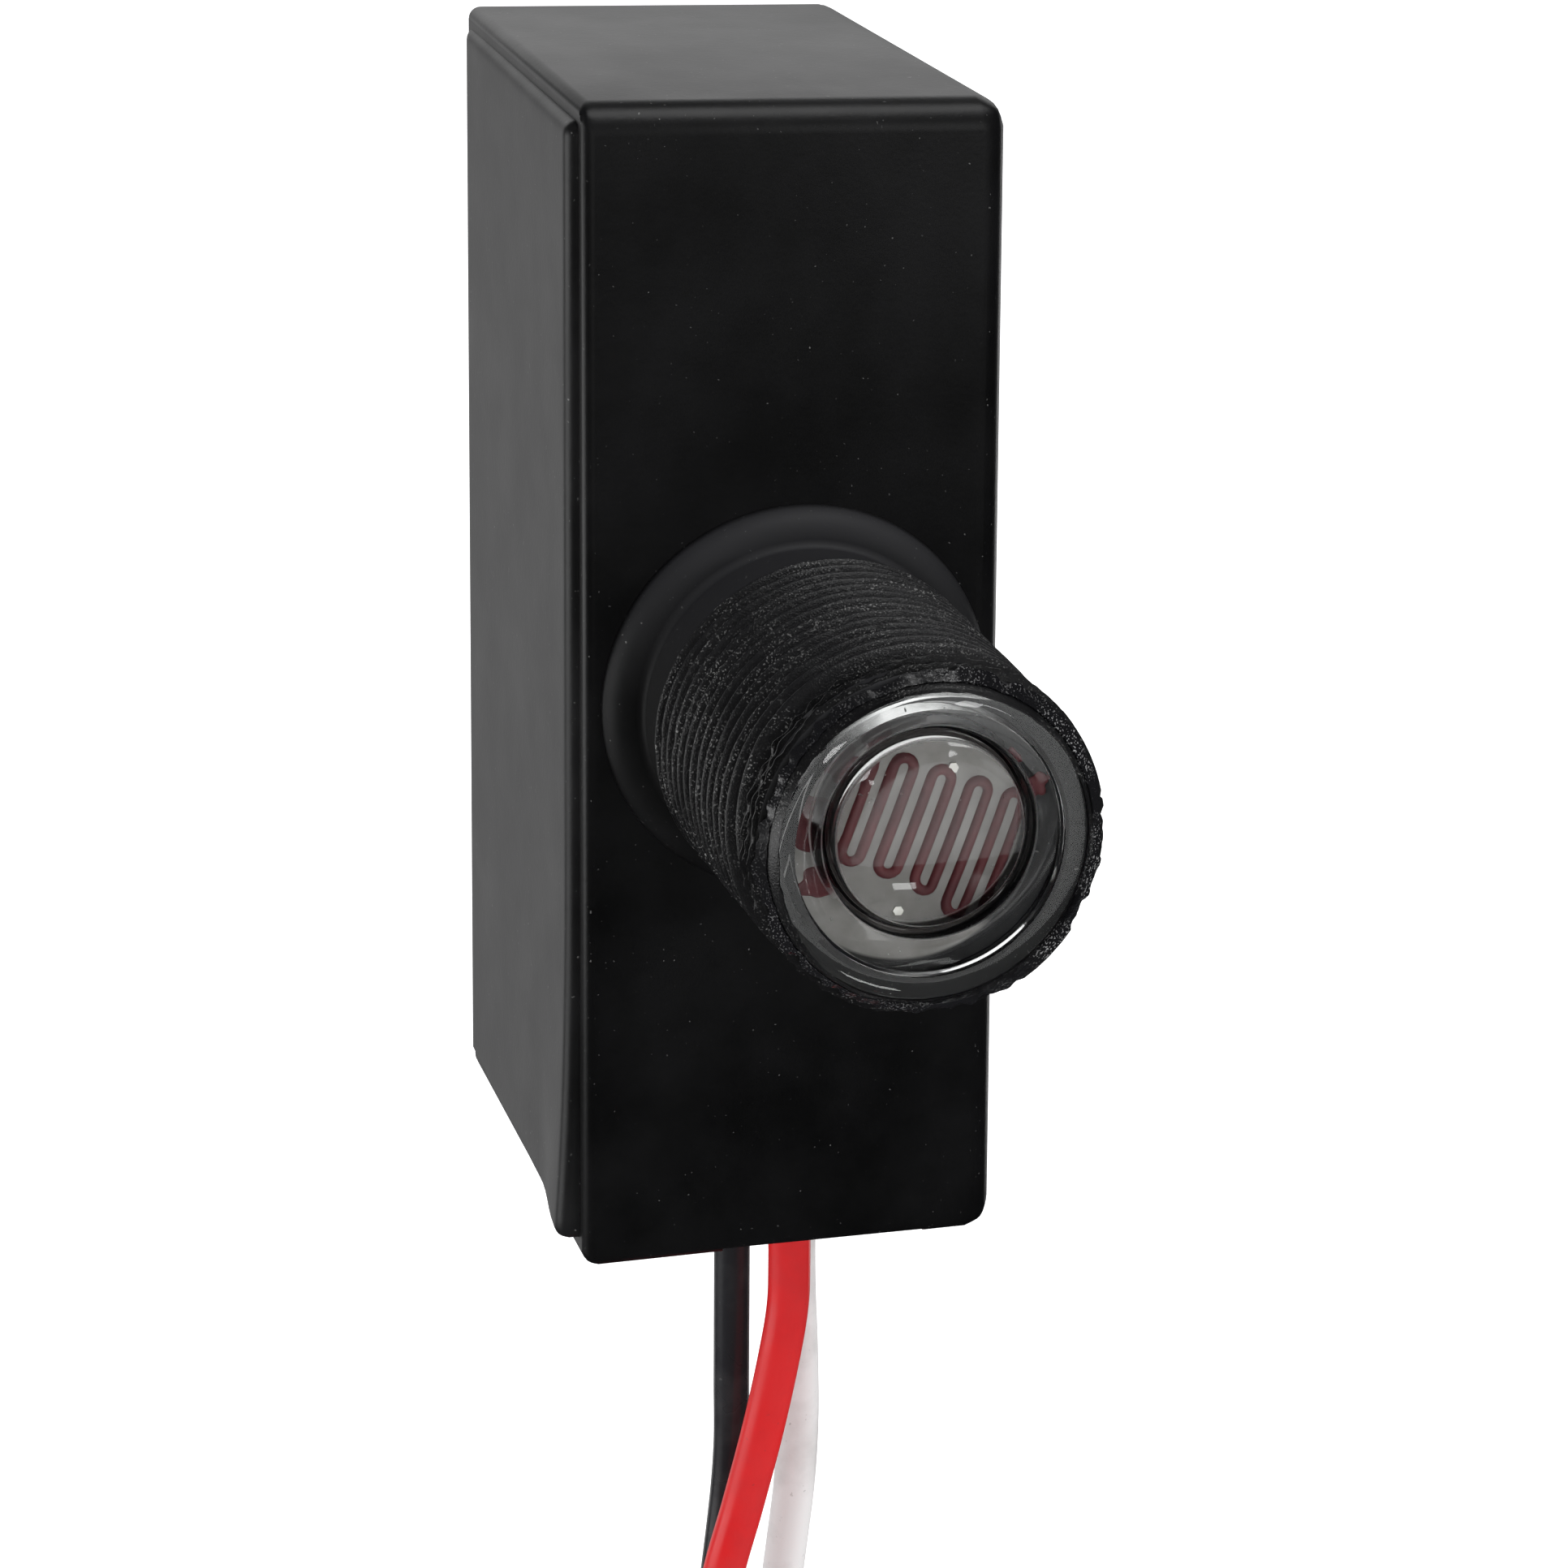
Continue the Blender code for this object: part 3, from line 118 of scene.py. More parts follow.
# %% Draw each lead as one smooth curve
LEADS = {
    "black": (0.00115, [
        (0.0026, 0.0122, -0.0256), (0.0021, 0.0123, -0.0282), (0.0006, 0.0127, -0.0314),
        (-0.0003, 0.0128, -0.0340), (-0.0003, 0.0128, -0.0412), (-0.0003, 0.0128, -0.0454),
        (-0.0003, 0.0128, -0.0499), (-0.0003, 0.0128, -0.0545), (-0.0007, 0.0129, -0.0598),
        (-0.0018, 0.0130, -0.0690), (-0.0034, 0.0132, -0.0820), (-0.0042, 0.0134, -0.0980),
        (-0.0040, 0.0136, -0.1140), (-0.0034, 0.0136, -0.1300), (-0.0034, 0.0134, -0.1460),
        (-0.0038, 0.0131, -0.1620), (-0.0041, 0.0130, -0.1760),
    ]),
    "red": (0.00135, [
        (0.0052, 0.0082, -0.0256), (0.0048, 0.0084, -0.0280), (0.0034, 0.0089, -0.0312),
        (0.0025, 0.0092, -0.0345), (0.0025, 0.0092, -0.0404), (0.0024, 0.0092, -0.0437),
        (0.0018, 0.0092, -0.0474), (0.0008, 0.0091, -0.0519), (-0.0005, 0.0091, -0.0570),
        (-0.0019, 0.0090, -0.0620), (-0.0036, 0.0088, -0.0700), (-0.0050, 0.0086, -0.0820),
        (-0.0047, 0.0085, -0.0980), (-0.0030, 0.0086, -0.1140), (-0.0010, 0.0088, -0.1300),
        (0.0002, 0.0090, -0.1460), (0.0007, 0.0092, -0.1620), (0.0008, 0.0093, -0.1760),
    ]),
    "white": (0.00135, [
        (0.0055, 0.0154, -0.0256), (0.0054, 0.0155, -0.0280), (0.0050, 0.0157, -0.0310),
        (0.0047, 0.0158, -0.0345), (0.0047, 0.0158, -0.0437), (0.0049, 0.0158, -0.0490),
        (0.0050, 0.0158, -0.0539), (0.0048, 0.0158, -0.0585), (0.0043, 0.0158, -0.0630),
        (0.0034, 0.0157, -0.0700), (0.0022, 0.0156, -0.0820), (0.0020, 0.0155, -0.0980),
        (0.0028, 0.0154, -0.1140), (0.0038, 0.0153, -0.1300), (0.0044, 0.0152, -0.1460),
        (0.0046, 0.0151, -0.1620), (0.0046, 0.0150, -0.1760),
    ]),
}
STEPS_PER_KNOT = 8
LEAD_ROUNDNESS = 8
CLOSE = 1e-6


def between(knots, steps):
    """Points on a smooth curve that passes through every knot."""
    knots = [Vector(knot) for knot in knots]
    ends = [2 * knots[0] - knots[1], *knots, 2 * knots[-1] - knots[-2]]
    points = []
    for a, b, c, d in zip(ends, ends[1:], ends[2:], ends[3:]):
        for step in range(steps):
            t = step / steps
            square = 2 * a - 5 * b + 4 * c - d
            cubic = 3 * b - a - 3 * c + d
            points.append((2 * b + (c - a) * t + square * t**2 + cubic * t**3) / 2)
    return [*points, knots[-1]]


def line_length(points):
    return sum((q - p).length for p, q in zip(points, points[1:]))


def wire(name, points, radius, rings=4):
    """A round wire along the points, with closed ends."""
    line = bpy.data.curves.new(name, "CURVE")
    line.dimensions = "3D"
    line.bevel_depth = radius
    line.bevel_resolution = rings
    line.use_fill_caps = True
    spline = line.splines.new("POLY")
    spline.points.add(len(points) - 1)
    for place, point in zip(spline.points, points):
        place.co = (*point, 1)
    spline.use_smooth = True
    made = bpy.data.objects.new(name, line)
    bpy.context.scene.collection.objects.link(made)
    return made


def deselect():
    bpy.ops.object.select_all(action="DESELECT")


def activate(piece):
    """Selects this piece alone and makes it the active one."""
    deselect()
    piece.select_set(True)
    bpy.context.view_layer.objects.active = piece


def start_edit(piece):
    activate(piece)
    bpy.ops.object.mode_set(mode="EDIT")


def end_edit():
    bpy.ops.object.mode_set(mode="OBJECT")


def close_up(weld=True):
    """Ends an edit: welds points that coincide, if asked, and turns all faces outwards."""
    bpy.ops.mesh.select_all(action="SELECT")
    if weld:
        bpy.ops.mesh.remove_doubles(threshold=CLOSE)
    bpy.ops.mesh.normals_make_consistent(inside=False)
    end_edit()


def as_mesh(line):
    """Turns a curve into a mesh whose caps are welded to its wall."""
    activate(line)
    bpy.ops.object.convert(target="MESH")
    start_edit(bpy.context.object)
    close_up()
    return bpy.context.object


lead_pieces = {}
for colour, (radius, knots) in LEADS.items():
    route = between(knots, STEPS_PER_KNOT)
    lead = as_mesh(wire(f"{colour}_insulation", route, radius, LEAD_ROUNDNESS))
    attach(lead, "root")
    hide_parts(f"{colour}_lead")
    lead_pieces[colour] = lead
    print(colour, "lead:", round(line_length(route) * 1000, 1), "mm")

# %% [markdown]
# ## Floor and light
#
# Small black parts are photographed in a light tent: a pale floor and white walls behind
# them, and a darker room in front. The black faces are seen by what they reflect, so the
# broad lamps stand behind and above, and only two small ones stand in front. The floor is
# left out of the reflections, because the dark front face would show it.

# %% Lay the floor and hang the lamps
FLOOR_HEIGHT = cad_box[0][2] - 0.0008
FLOOR_RADIUS = 6
PAPER_TONE = 0.9
PAPER_GLOW = 0.66
LAMPS = {
    "back_wall_light": ((0.18, 0.95, 0.34), 1.3, 0.5, 2.6),
    "overhead_light": ((0.30, -0.20, 0.84), 0.7, 0.5, 2.8),
    "left_card_light": ((-0.19, 0.62, -0.13), 0.45, 0.4, 0.39),
    "left_wall_light": ((-0.80, 0.10, -0.12), 0.7, 0.35, 2.3),
    "left_window": ((-0.126, -0.89, 0.077), 0.09, 0.10, 0.22),
    "right_window": ((0.43, -0.77, 0.17), 0.24, 0.07, 0.42),
    "right_card_light": ((0.60, 0.51, -0.19), 0.22, 0.30, 0.50),
}


def feed(tree, socket, value):
    """Gives a socket its value: another node's output, a colour or a number."""
    if isinstance(value, bpy.types.NodeSocket):
        tree.links.new(value, socket)
    elif isinstance(value, (tuple, list)):
        socket.default_value = (*value, 1)
    else:
        socket.default_value = value


def feed_all(tree, node, **values):
    """Feeds several sockets. In their names an underscore stands for a space."""
    for label, value in values.items():
        feed(tree, node.inputs[label.replace("_", " ")], value)


def new_finish(name):
    """A new material, its node tree and its shader."""
    made = bpy.data.materials.new(name)
    made.use_nodes = True
    return made, made.node_tree, made.node_tree.nodes["Principled BSDF"]


def lamp(name, place, width, height, watts):
    """A soft rectangular lamp that faces the object."""
    bpy.ops.object.light_add(type="AREA", location=place)
    made = bpy.context.object
    made.name = name
    made.data.shape = "RECTANGLE"
    made.data.size = width
    made.data.size_y = height
    made.data.energy = watts
    made.rotation_euler = (-Vector(place)).to_track_quat("-Z", "Y").to_euler()
    return made


bpy.ops.mesh.primitive_circle_add(
    vertices=96, radius=FLOOR_RADIUS, fill_type="NGON", location=(0, 0, FLOOR_HEIGHT)
)
floor = bpy.context.object
floor.name = "studio_floor"
floor.visible_glossy = False
paper, tree, shader = new_finish("floor_paper")
feed_all(
    tree, shader, Base_Color=[PAPER_TONE] * 3, Roughness=0.9,
    Emission_Color=(1, 1, 1), Emission_Strength=PAPER_GLOW,
)
floor.data.materials.append(paper)

lamps = {name: lamp(name, *settings) for name, settings in LAMPS.items()}
lamps["left_window"].visible_transmission = False
print("floor at", round(FLOOR_HEIGHT, 4), "lamps:", len(lamps))

# %% [markdown]
# The room itself has three tones. The camera sees white paper, matt surfaces get a soft grey
# fill, and mirror-like ones see the dark front of the room, which keeps the black parts black.

# %% Tone the room
MIRRORED_ROOM = (0.008, 0.0082, 0.009)
ROOM_FILL = (0.55, 0.55, 0.56)


def blend_colours(tree, factor, first, second):
    """Goes from the first colour to the second as the factor goes from 0 to 1."""
    made = tree.nodes.new("ShaderNodeMix")
    made.data_type = "RGBA"
    for number, value in ((0, factor), (6, first), (7, second)):
        feed(tree, made.inputs[number], value)
    return made.outputs[2]


room = bpy.data.worlds.new("studio_room")
room.use_nodes = True
bpy.context.scene.world = room
tree = room.node_tree
rays = tree.nodes.new("ShaderNodeLightPath").outputs
lit_room = blend_colours(tree, rays["Is Diffuse Ray"], MIRRORED_ROOM, ROOM_FILL)
shown = blend_colours(tree, rays["Is Camera Ray"], lit_room, (1, 1, 1))
feed_all(tree, tree.nodes["Background"], Color=shown, Strength=1.0)
bpy.context.scene.view_settings.view_transform = "Standard"
print("room toned")

# %% [markdown]
# ## Tools for the bench
#
# Each new piece starts from a primitive. These helpers do what a hand does in edit mode:
# pick faces or edges by where they are or which way they face, and finish a modifier.
# Everything is deselected first, because an operator acts on all that is selected.

# %% Helpers for selecting, editing and joining
def middle_of(edge):
    return (edge.verts[0].co + edge.verts[1].co) / 2


def run_of(edge):
    """How far an edge runs along each axis."""
    step = edge.verts[0].co - edge.verts[1].co
    return Vector(map(abs, step))


def pick(piece, kind, test):
    """In edit mode, selects only the faces, edges or vertices that pass the test."""
    bpy.ops.mesh.select_mode(type=kind)
    bpy.ops.mesh.select_all(action="DESELECT")
    shape = bmesh.from_edit_mesh(piece.data)
    for thing in {"FACE": shape.faces, "EDGE": shape.edges, "VERT": shape.verts}[kind]:
        if test(thing):
            thing.select_set(True)
    shape.select_flush_mode()
    bmesh.update_edit_mesh(piece.data)


def finish_modifier(piece, modifier):
    activate(piece)
    bpy.ops.object.modifier_apply(modifier=modifier.name)


def combine(piece, other, operation):
    """Cuts or joins another piece, which is then gone."""
    joint = piece.modifiers.new("Joint", "BOOLEAN")
    joint.operation = operation
    joint.object = other
    joint.solver = "EXACT"
    finish_modifier(piece, joint)
    bpy.data.objects.remove(other, do_unlink=True)


def smooth_piece(piece, angle=30):
    """Shades a piece smooth, apart from edges sharper than the angle in degrees."""
    activate(piece)
    bpy.ops.object.shade_smooth_by_angle(angle=math.radians(angle))


def placed_block(name, low, high):
    """A block between two corners, with its place in its mesh."""
    low, high = Vector(low), Vector(high)
    deselect()
    bpy.ops.mesh.primitive_cube_add(size=1, location=(low + high) / 2, scale=high - low)
    block = bpy.context.object
    block.name = name
    bpy.ops.object.transform_apply(location=True, rotation=True, scale=True)
    return block


def turn(name, profile, steps):
    """Spins a profile of (radius, distance out) about the nozzle's axis."""
    deselect()
    bpy.ops.mesh.primitive_plane_add(size=0.001, location=(0, 0, 0))
    piece = bpy.context.object
    piece.name = name
    start_edit(piece)
    bpy.ops.mesh.select_mode(type="VERT")
    bpy.ops.mesh.select_all(action="SELECT")
    bpy.ops.mesh.merge(type="CENTER")
    bpy.ops.transform.translate(value=(profile[0][0], -profile[0][1], 0))
    for (radius, out), (next_radius, next_out) in zip(profile, profile[1:]):
        step = (next_radius - radius, out - next_out, 0)
        bpy.ops.mesh.extrude_vertices_move(TRANSFORM_OT_translate={"value": step})
    bpy.ops.mesh.select_all(action="SELECT")
    bpy.ops.mesh.spin(steps=steps, angle=math.tau, center=(0, 0, 0), axis=(0, 1, 0))
    close_up()
    return piece


def arc(centre, radius, start, end, count):
    """Profile points along an arc, between two angles in degrees."""
    points = []
    for i in range(count + 1):
        angle = math.radians(start + (end - start) * i / count)
        across, out = radius * math.cos(angle), radius * math.sin(angle)
        points.append((centre[0] + across, centre[1] + out))
    return points


def dress(piece, material, node):
    """Gives a piece its finish, hangs it from the root and hides the solid that it stands for."""
    piece.data.materials.clear()
    piece.data.materials.append(material)
    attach(piece, "root")
    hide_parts(node)


print("helpers ready")

# %% [markdown]
# ## Shared effects
#
# Moulded plastic isn't one even tone. The mould's spark-eroded grain breaks up the gloss,
# handling leaves duller smudges, and a little pale dust settles in places. Each of these
# effects is a node group with named inputs, so every finish can use it at its own scale.
# The groups give out masks and heights, and each material keeps its own shader.

# %% Build the effect groups
def new_group(name, inputs, outputs):
    """A node group whose sockets are numbers. The inputs come with their usual values."""
    group = bpy.data.node_groups.new(name, "ShaderNodeTree")
    number = "NodeSocketFloat"
    for label, value in inputs.items():
        socket = group.interface.new_socket(name=label, in_out="INPUT", socket_type=number)
        socket.default_value = value
    for label in outputs:
        group.interface.new_socket(name=label, in_out="OUTPUT", socket_type=number)
    given = group.nodes.new("NodeGroupInput").outputs
    return group, given, group.nodes.new("NodeGroupOutput").inputs


def object_place(tree):
    return tree.nodes.new("ShaderNodeTexCoord").outputs["Object"]


def noise(tree, place, scale, detail=3.0, rough=0.55):
    made = tree.nodes.new("ShaderNodeTexNoise")
    feed_all(tree, made, Vector=place, Scale=scale, Detail=detail, Roughness=rough)
    return made.outputs["Fac"]


def spread(tree, value, low, high, out_low=0.0, out_high=1.0):
    """Stretches a range of a value onto another, and stops at its ends."""
    made = tree.nodes.new("ShaderNodeMapRange")
    made.clamp = True
    for number, setting in enumerate((value, low, high, out_low, out_high)):
        feed(tree, made.inputs[number], setting)
    return made.outputs["Result"]


def maths(tree, operation, first, second=0.0):
    made = tree.nodes.new("ShaderNodeMath")
    made.operation = operation
    feed(tree, made.inputs[0], first)
    feed(tree, made.inputs[1], second)
    return made.outputs[0]


group, given, result = new_group(
    "moulded_grain", {"Scale": 2500.0, "Waviness": 0.3}, ("Height", "Patches")
)
fine = noise(group, object_place(group), given["Scale"], 2.0)
broad = noise(group, object_place(group), 220.0)
waves = maths(group, "MULTIPLY", broad, given["Waviness"])
feed(group, result["Height"], maths(group, "ADD", fine, waves))
feed(group, result["Patches"], spread(group, broad, 0.35, 0.65))
grain_group = group
print("made the group", group.name)

# %% [markdown]
# Dust is a fine noise cut off near its top, so that only its highest points show as specks.
# A lower limit shows more of them, and a broader noise gathers them in patches.

# %% Build the smudges and the dust
group, given, result = new_group(
    "smudge_and_dust",
    {"Smudge Scale": 90.0, "Dust Scale": 4200.0, "Dust Amount": 0.3},
    ("Smudge", "Dust"),
)
place = object_place(group)
smudges = noise(group, place, given["Smudge Scale"], 5.0, 0.6)
specks = noise(group, place, given["Dust Scale"], 1.0, 0.4)
gathered = spread(group, noise(group, place, 400.0, 2.0), 0.4, 0.7)
limit = maths(group, "SUBTRACT", 0.80, maths(group, "MULTIPLY", given["Dust Amount"], 0.2))
speckled = spread(group, maths(group, "SUBTRACT", specks, limit), 0.0, 0.04)
feed(group, result["Smudge"], spread(group, smudges, 0.38, 0.62))
feed(group, result["Dust"], maths(group, "MULTIPLY", speckled, gathered))
smudge_group = group
print("made the group", group.name)

# %% [markdown]
# ## Black moulded plastic
#
# The housing and its cover are moulded in a black plastic with a satin face. It is made
# from the shared grain and smudge effects: the grain bends the normals a little, and the
# smudges and patches move the roughness, which is what the eye reads on a black part. The
# same recipe with other numbers gives every moulding on the object.

# %% Mix the mouldings
PALE_DUST = (0.16, 0.16, 0.155)
CLOUDING = 2.6
FINE_DEPTH = 0.00001
TOP_LIGHT_HEIGHTS = (0.001, 0.010)
NOZZLE_STARTS = (-0.0001, -0.0006)


def use_group(tree, group, **values):
    made = tree.nodes.new("ShaderNodeGroup")
    made.node_tree = group
    feed_all(tree, made, **values)
    return made.outputs


def split_axes(tree):
    """The place on the object as three numbers, X, Y and Z."""
    made = tree.nodes.new("ShaderNodeSeparateXYZ")
    feed(tree, made.inputs[0], object_place(tree))
    return made.outputs


def surface(tree, shader, colour, gloss, texture, depth=FINE_DEPTH):
    """Gives a finish its colour, its roughness and a relief of this depth. Two values of
    gloss are the lowest and the highest roughness, and follow the texture's patches."""
    if isinstance(gloss, tuple):
        gloss = spread(tree, texture["Patches"], 0.0, 1.0, *gloss)
    relief = tree.nodes.new("ShaderNodeBump")
    feed_all(tree, relief, Strength=1.0, Distance=depth, Height=texture["Height"])
    feed_all(tree, shader, Base_Color=colour, Roughness=gloss, Normal=relief.outputs["Normal"])


def moulded(
    name, colour, dusty_colour, gloss, depth=FINE_DEPTH,
    grain=2500.0, dust=0.3, specks=4200.0, painted_top_light=None, matt=0.0,
):
    """A moulded plastic: gloss is the lowest and the highest roughness. The nozzle's upper side
    may get painted light, a lighter colour that grows upwards, and the nozzle may be more matt."""
    made, tree, shader = new_finish(name)
    texture = use_group(tree, grain_group, Scale=grain)
    marks = use_group(tree, smudge_group, Dust_Scale=specks, Dust_Amount=dust)
    base = blend_colours(tree, marks["Smudge"], colour, [CLOUDING * tone for tone in colour])
    smudged = maths(tree, "MULTIPLY", marks["Smudge"], 0.6)
    uneven = maths(tree, "ADD", smudged, maths(tree, "MULTIPLY", texture["Patches"], 0.4))
    rough = spread(tree, uneven, 0.0, 1.0, *gloss)
    if painted_top_light:
        # painted light: the nozzle's upper side gets a lighter colour, more so towards the top
        axes = split_axes(tree)
        above = spread(tree, axes["Z"], *TOP_LIGHT_HEIGHTS)
        ahead = spread(tree, axes["Y"], *NOZZLE_STARTS)
        base = blend_colours(tree, maths(tree, "MULTIPLY", above, ahead), base, painted_top_light)
        rough = maths(tree, "ADD", rough, maths(tree, "MULTIPLY", ahead, matt))
    dusted = blend_colours(tree, marks["Dust"], base, dusty_colour)
    surface(tree, shader, dusted, rough, texture, depth)
    return made


# The housing's nozzle gets painted light on its upper side.
housing_black = moulded(
    "housing_black", (0.0020, 0.0020, 0.0023), PALE_DUST, (0.40, 0.45),
    painted_top_light=(0.022, 0.022, 0.025), matt=0.2,
)
cover_black = moulded("cover_black", (0.0045, 0.0045, 0.0048), PALE_DUST, (0.43, 0.48))
print("mouldings mixed")

# %% [markdown]
# ## The housing
#
# The real housing is one moulding: a box whose walls lean in towards the back so that it
# leaves its mould, with a soft radius along the top of its face, finer ones elsewhere, a
# shallow rebate on the left for the cover, and the nozzle's collar and barrel on the
# front. Here a cube is drawn to size, its back face is made smaller for the lean, its
# edges get their own radii from bevel weights, and the barrel is spun and joined on.

# %% Shape the box
WIDTH = 0.0264
DEPTH = 0.0340
TOP = 0.0373
BOTTOM = 0.0361
WALL = 0.0018
LEAN = math.tan(math.radians(2.1))
SIDE_LEAN = math.tan(math.radians(1.65))
TOP_FALL = 0.0011
BOTTOM_RISE = 0.0003
SIDES = ("left", "front", "bottom", "right", "rear", "top")


def outline_block(name, left, right, front, rear, above=0.0, below=0.0):
    """A block with the housing's lean. Its sides are given at the front face's plane,
    and its top and bottom follow the housing's, this far inside them."""
    block = placed_block(name, (left, front, -BOTTOM + below), (right, rear, TOP - above))
    start_edit(block)
    for depth in (front, rear):
        for way in (-1, 1):
            pick(block, "VERT", lambda v: abs(v.co.y - depth) < CLOSE and v.co.x * way > 0)
            bpy.ops.transform.translate(value=(-SIDE_LEAN * depth * way, 0, 0))
            pick(block, "VERT", lambda v: abs(v.co.y - depth) < CLOSE and v.co.z * way > 0)
            bpy.ops.transform.translate(value=(0, 0, -LEAN * depth * way))
    pick(block, "VERT", lambda v: v.co.x > 0 and v.co.z > 0)
    bpy.ops.transform.translate(value=(0, 0, -TOP_FALL))
    pick(block, "VERT", lambda v: v.co.x > 0 and v.co.z < 0)
    bpy.ops.transform.translate(value=(0, 0, BOTTOM_RISE))
    end_edit()
    return block


def round_edges(piece, radii, segments=6):
    """Rounds a block's edges. Each is named by the two ways that its faces look."""
    largest = max(radii.values())
    start_edit(piece)
    shape = bmesh.from_edit_mesh(piece.data)
    shape.normal_update()
    weight = shape.edges.layers.float.new("bevel_weight_edge")
    for edge in shape.edges:
        looks = set()
        for face in edge.link_faces:
            axis = max(range(3), key=lambda k: abs(face.normal[k]))
            looks.add(SIDES[axis + 3 * (face.normal[axis] > 0)])
        for names, radius in radii.items():
            if looks == set(names.split()):
                edge[weight] = radius / largest
    bmesh.update_edit_mesh(piece.data)
    end_edit()
    rounding = piece.modifiers.new("Rounded edges", "BEVEL")
    rounding.width = largest
    rounding.segments = segments
    rounding.limit_method = "WEIGHT"
    finish_modifier(piece, rounding)


housing = outline_block("housing_body", -WIDTH / 2, WIDTH / 2, 0, DEPTH)
round_edges(housing, {
    "front top": 0.0019, "front right": 0.0018, "top right": 0.0018, "bottom right": 0.0018,
    "front bottom": 0.0008, "rear top": 0.0008, "rear right": 0.0008, "rear bottom": 0.0008,
    "left front": 0.0008, "left top": 0.0008, "left bottom": 0.0011, "left rear": 0.0008,
})
print("housing box:", [round(size * 1000, 2) for size in housing.dimensions], "mm")

# %% Cut the cavity and the cover's rebate
LIP = 0.00075
BOTTOM_LIP = 0.00095
REBATE_DEPTH = 0.0010
OVERSHOOT = 0.002

cavity = outline_block(
    "cavity", -WIDTH / 2 - OVERSHOOT, WIDTH / 2 - WALL, WALL, DEPTH - WALL, WALL, WALL
)
round_edges(cavity, {"front right": 0.0008, "rear right": 0.0008}, 4)
combine(housing, cavity, "DIFFERENCE")
rebate = outline_block(
    "rebate", -WIDTH / 2 - OVERSHOOT, -WIDTH / 2 + REBATE_DEPTH,
    LIP, DEPTH - LIP, LIP, BOTTOM_LIP,
)
combine(housing, rebate, "DIFFERENCE")
print("cavity and rebate cut:", len(housing.data.polygons), "faces")

# %% Spin the collar and the barrel, and join them on
NOZZLE = 0.0284
THREAD_RADIUS = 0.01065
ROOT_RADIUS = 0.00985
PITCH = 0.001337
THREAD_START = 0.0062
NECK_RADIUS = 0.0096
THREAD_END = 0.0246
BORE_RADIUS = 0.0083
COLLAR_RADIUS = 0.0121
COLLAR_EDGE = 0.0017
COLLAR_FILLET = 0.0005
LAND_RADIUS = 0.01025
LAND_EDGE = 0.0003
NECK_FILLET = 0.0004
ROUND_STEPS = 128

fillet = (ROOT_RADIUS + COLLAR_FILLET, COLLAR_EDGE + COLLAR_FILLET)
barrel = turn("barrel", [
    (0, NOZZLE),
    (LAND_RADIUS - 0.0005, NOZZLE),
    *arc((LAND_RADIUS - LAND_EDGE, NOZZLE - LAND_EDGE), LAND_EDGE, 90, 0, 4),
    (LAND_RADIUS + 0.00004, NOZZLE - 0.0010),
    *arc((LAND_RADIUS - LAND_EDGE, NOZZLE - 0.0015), LAND_EDGE, 0, -90, 4),
    *arc((NECK_RADIUS + NECK_FILLET, NOZZLE - 0.0022), NECK_FILLET, 90, 180, 4),
    (NECK_RADIUS, THREAD_END + 0.0004),
    (ROOT_RADIUS, THREAD_END - 0.0001),
    (ROOT_RADIUS, THREAD_START - PITCH),
    *arc(fillet, COLLAR_FILLET, 180, 270, 12),
    *arc((COLLAR_RADIUS - COLLAR_EDGE, 0), COLLAR_EDGE, 90, 0, 8),
    (COLLAR_RADIUS, -WALL / 2),
    (0, -WALL / 2),
], ROUND_STEPS)
combine(housing, barrel, "UNION")
bpy.ops.mesh.primitive_cylinder_add(
    vertices=ROUND_STEPS, radius=BORE_RADIUS, depth=NOZZLE + 3 * OVERSHOOT,
    location=(0, -NOZZLE / 2 + OVERSHOOT / 2, 0), rotation=(math.pi / 2, 0, 0),
)
combine(housing, bpy.context.object, "DIFFERENCE")
print("barrel joined:", len(housing.data.polygons), "faces")

# %% Cut the opening for the leads
BUSHING_CENTRE = (0.0022, 0.0126)
BUSHING_SIZE = (0.0112, 0.0106)
EXIT_GAP = 0.0003
EXIT_CORNER = 0.0022
RELIEF_HALF = 0.0065
RELIEF_BEHIND = 0.0012
RELIEF_HEIGHT = 0.0005

across, depth = BUSHING_CENTRE
half_x, half_y = BUSHING_SIZE[0] / 2 + EXIT_GAP, BUSHING_SIZE[1] / 2 + EXIT_GAP
opening = placed_block(
    "opening",
    (across - half_x, depth - half_y, -BOTTOM - OVERSHOOT),
    (across + half_x, depth + half_y, -BOTTOM + WALL + OVERSHOOT),
)
start_edit(opening)
pick(opening, "EDGE", lambda e: run_of(e).z > WALL)
bpy.ops.mesh.bevel(offset=EXIT_CORNER, segments=8)
end_edit()
combine(housing, opening, "DIFFERENCE")
relief = placed_block(
    "relief", (across - RELIEF_HALF, -OVERSHOOT, -BOTTOM - OVERSHOOT),
    (across + RELIEF_HALF, depth + half_y + RELIEF_BEHIND, -BOTTOM + RELIEF_HEIGHT),
)
combine(housing, relief, "DIFFERENCE")
smooth_piece(housing)
dress(housing, housing_black, "housing_shell")
print("housing:", len(housing.data.polygons), "faces")

# %% [markdown]
# ## The thread
#
# The barrel's thread is a straight pipe-style thread that runs out at both ends. Its
# crests are narrow and slightly worn. One turn's section is drawn as a small
# trapezium with a rounded crest, and a Screw modifier winds it up the barrel, which is
# how a thread is generated on a lathe too. Its ends are then eased into the barrel.

# %% Wind the thread
TURNS = round((THREAD_END - THREAD_START) / PITCH)
STEPS = 96

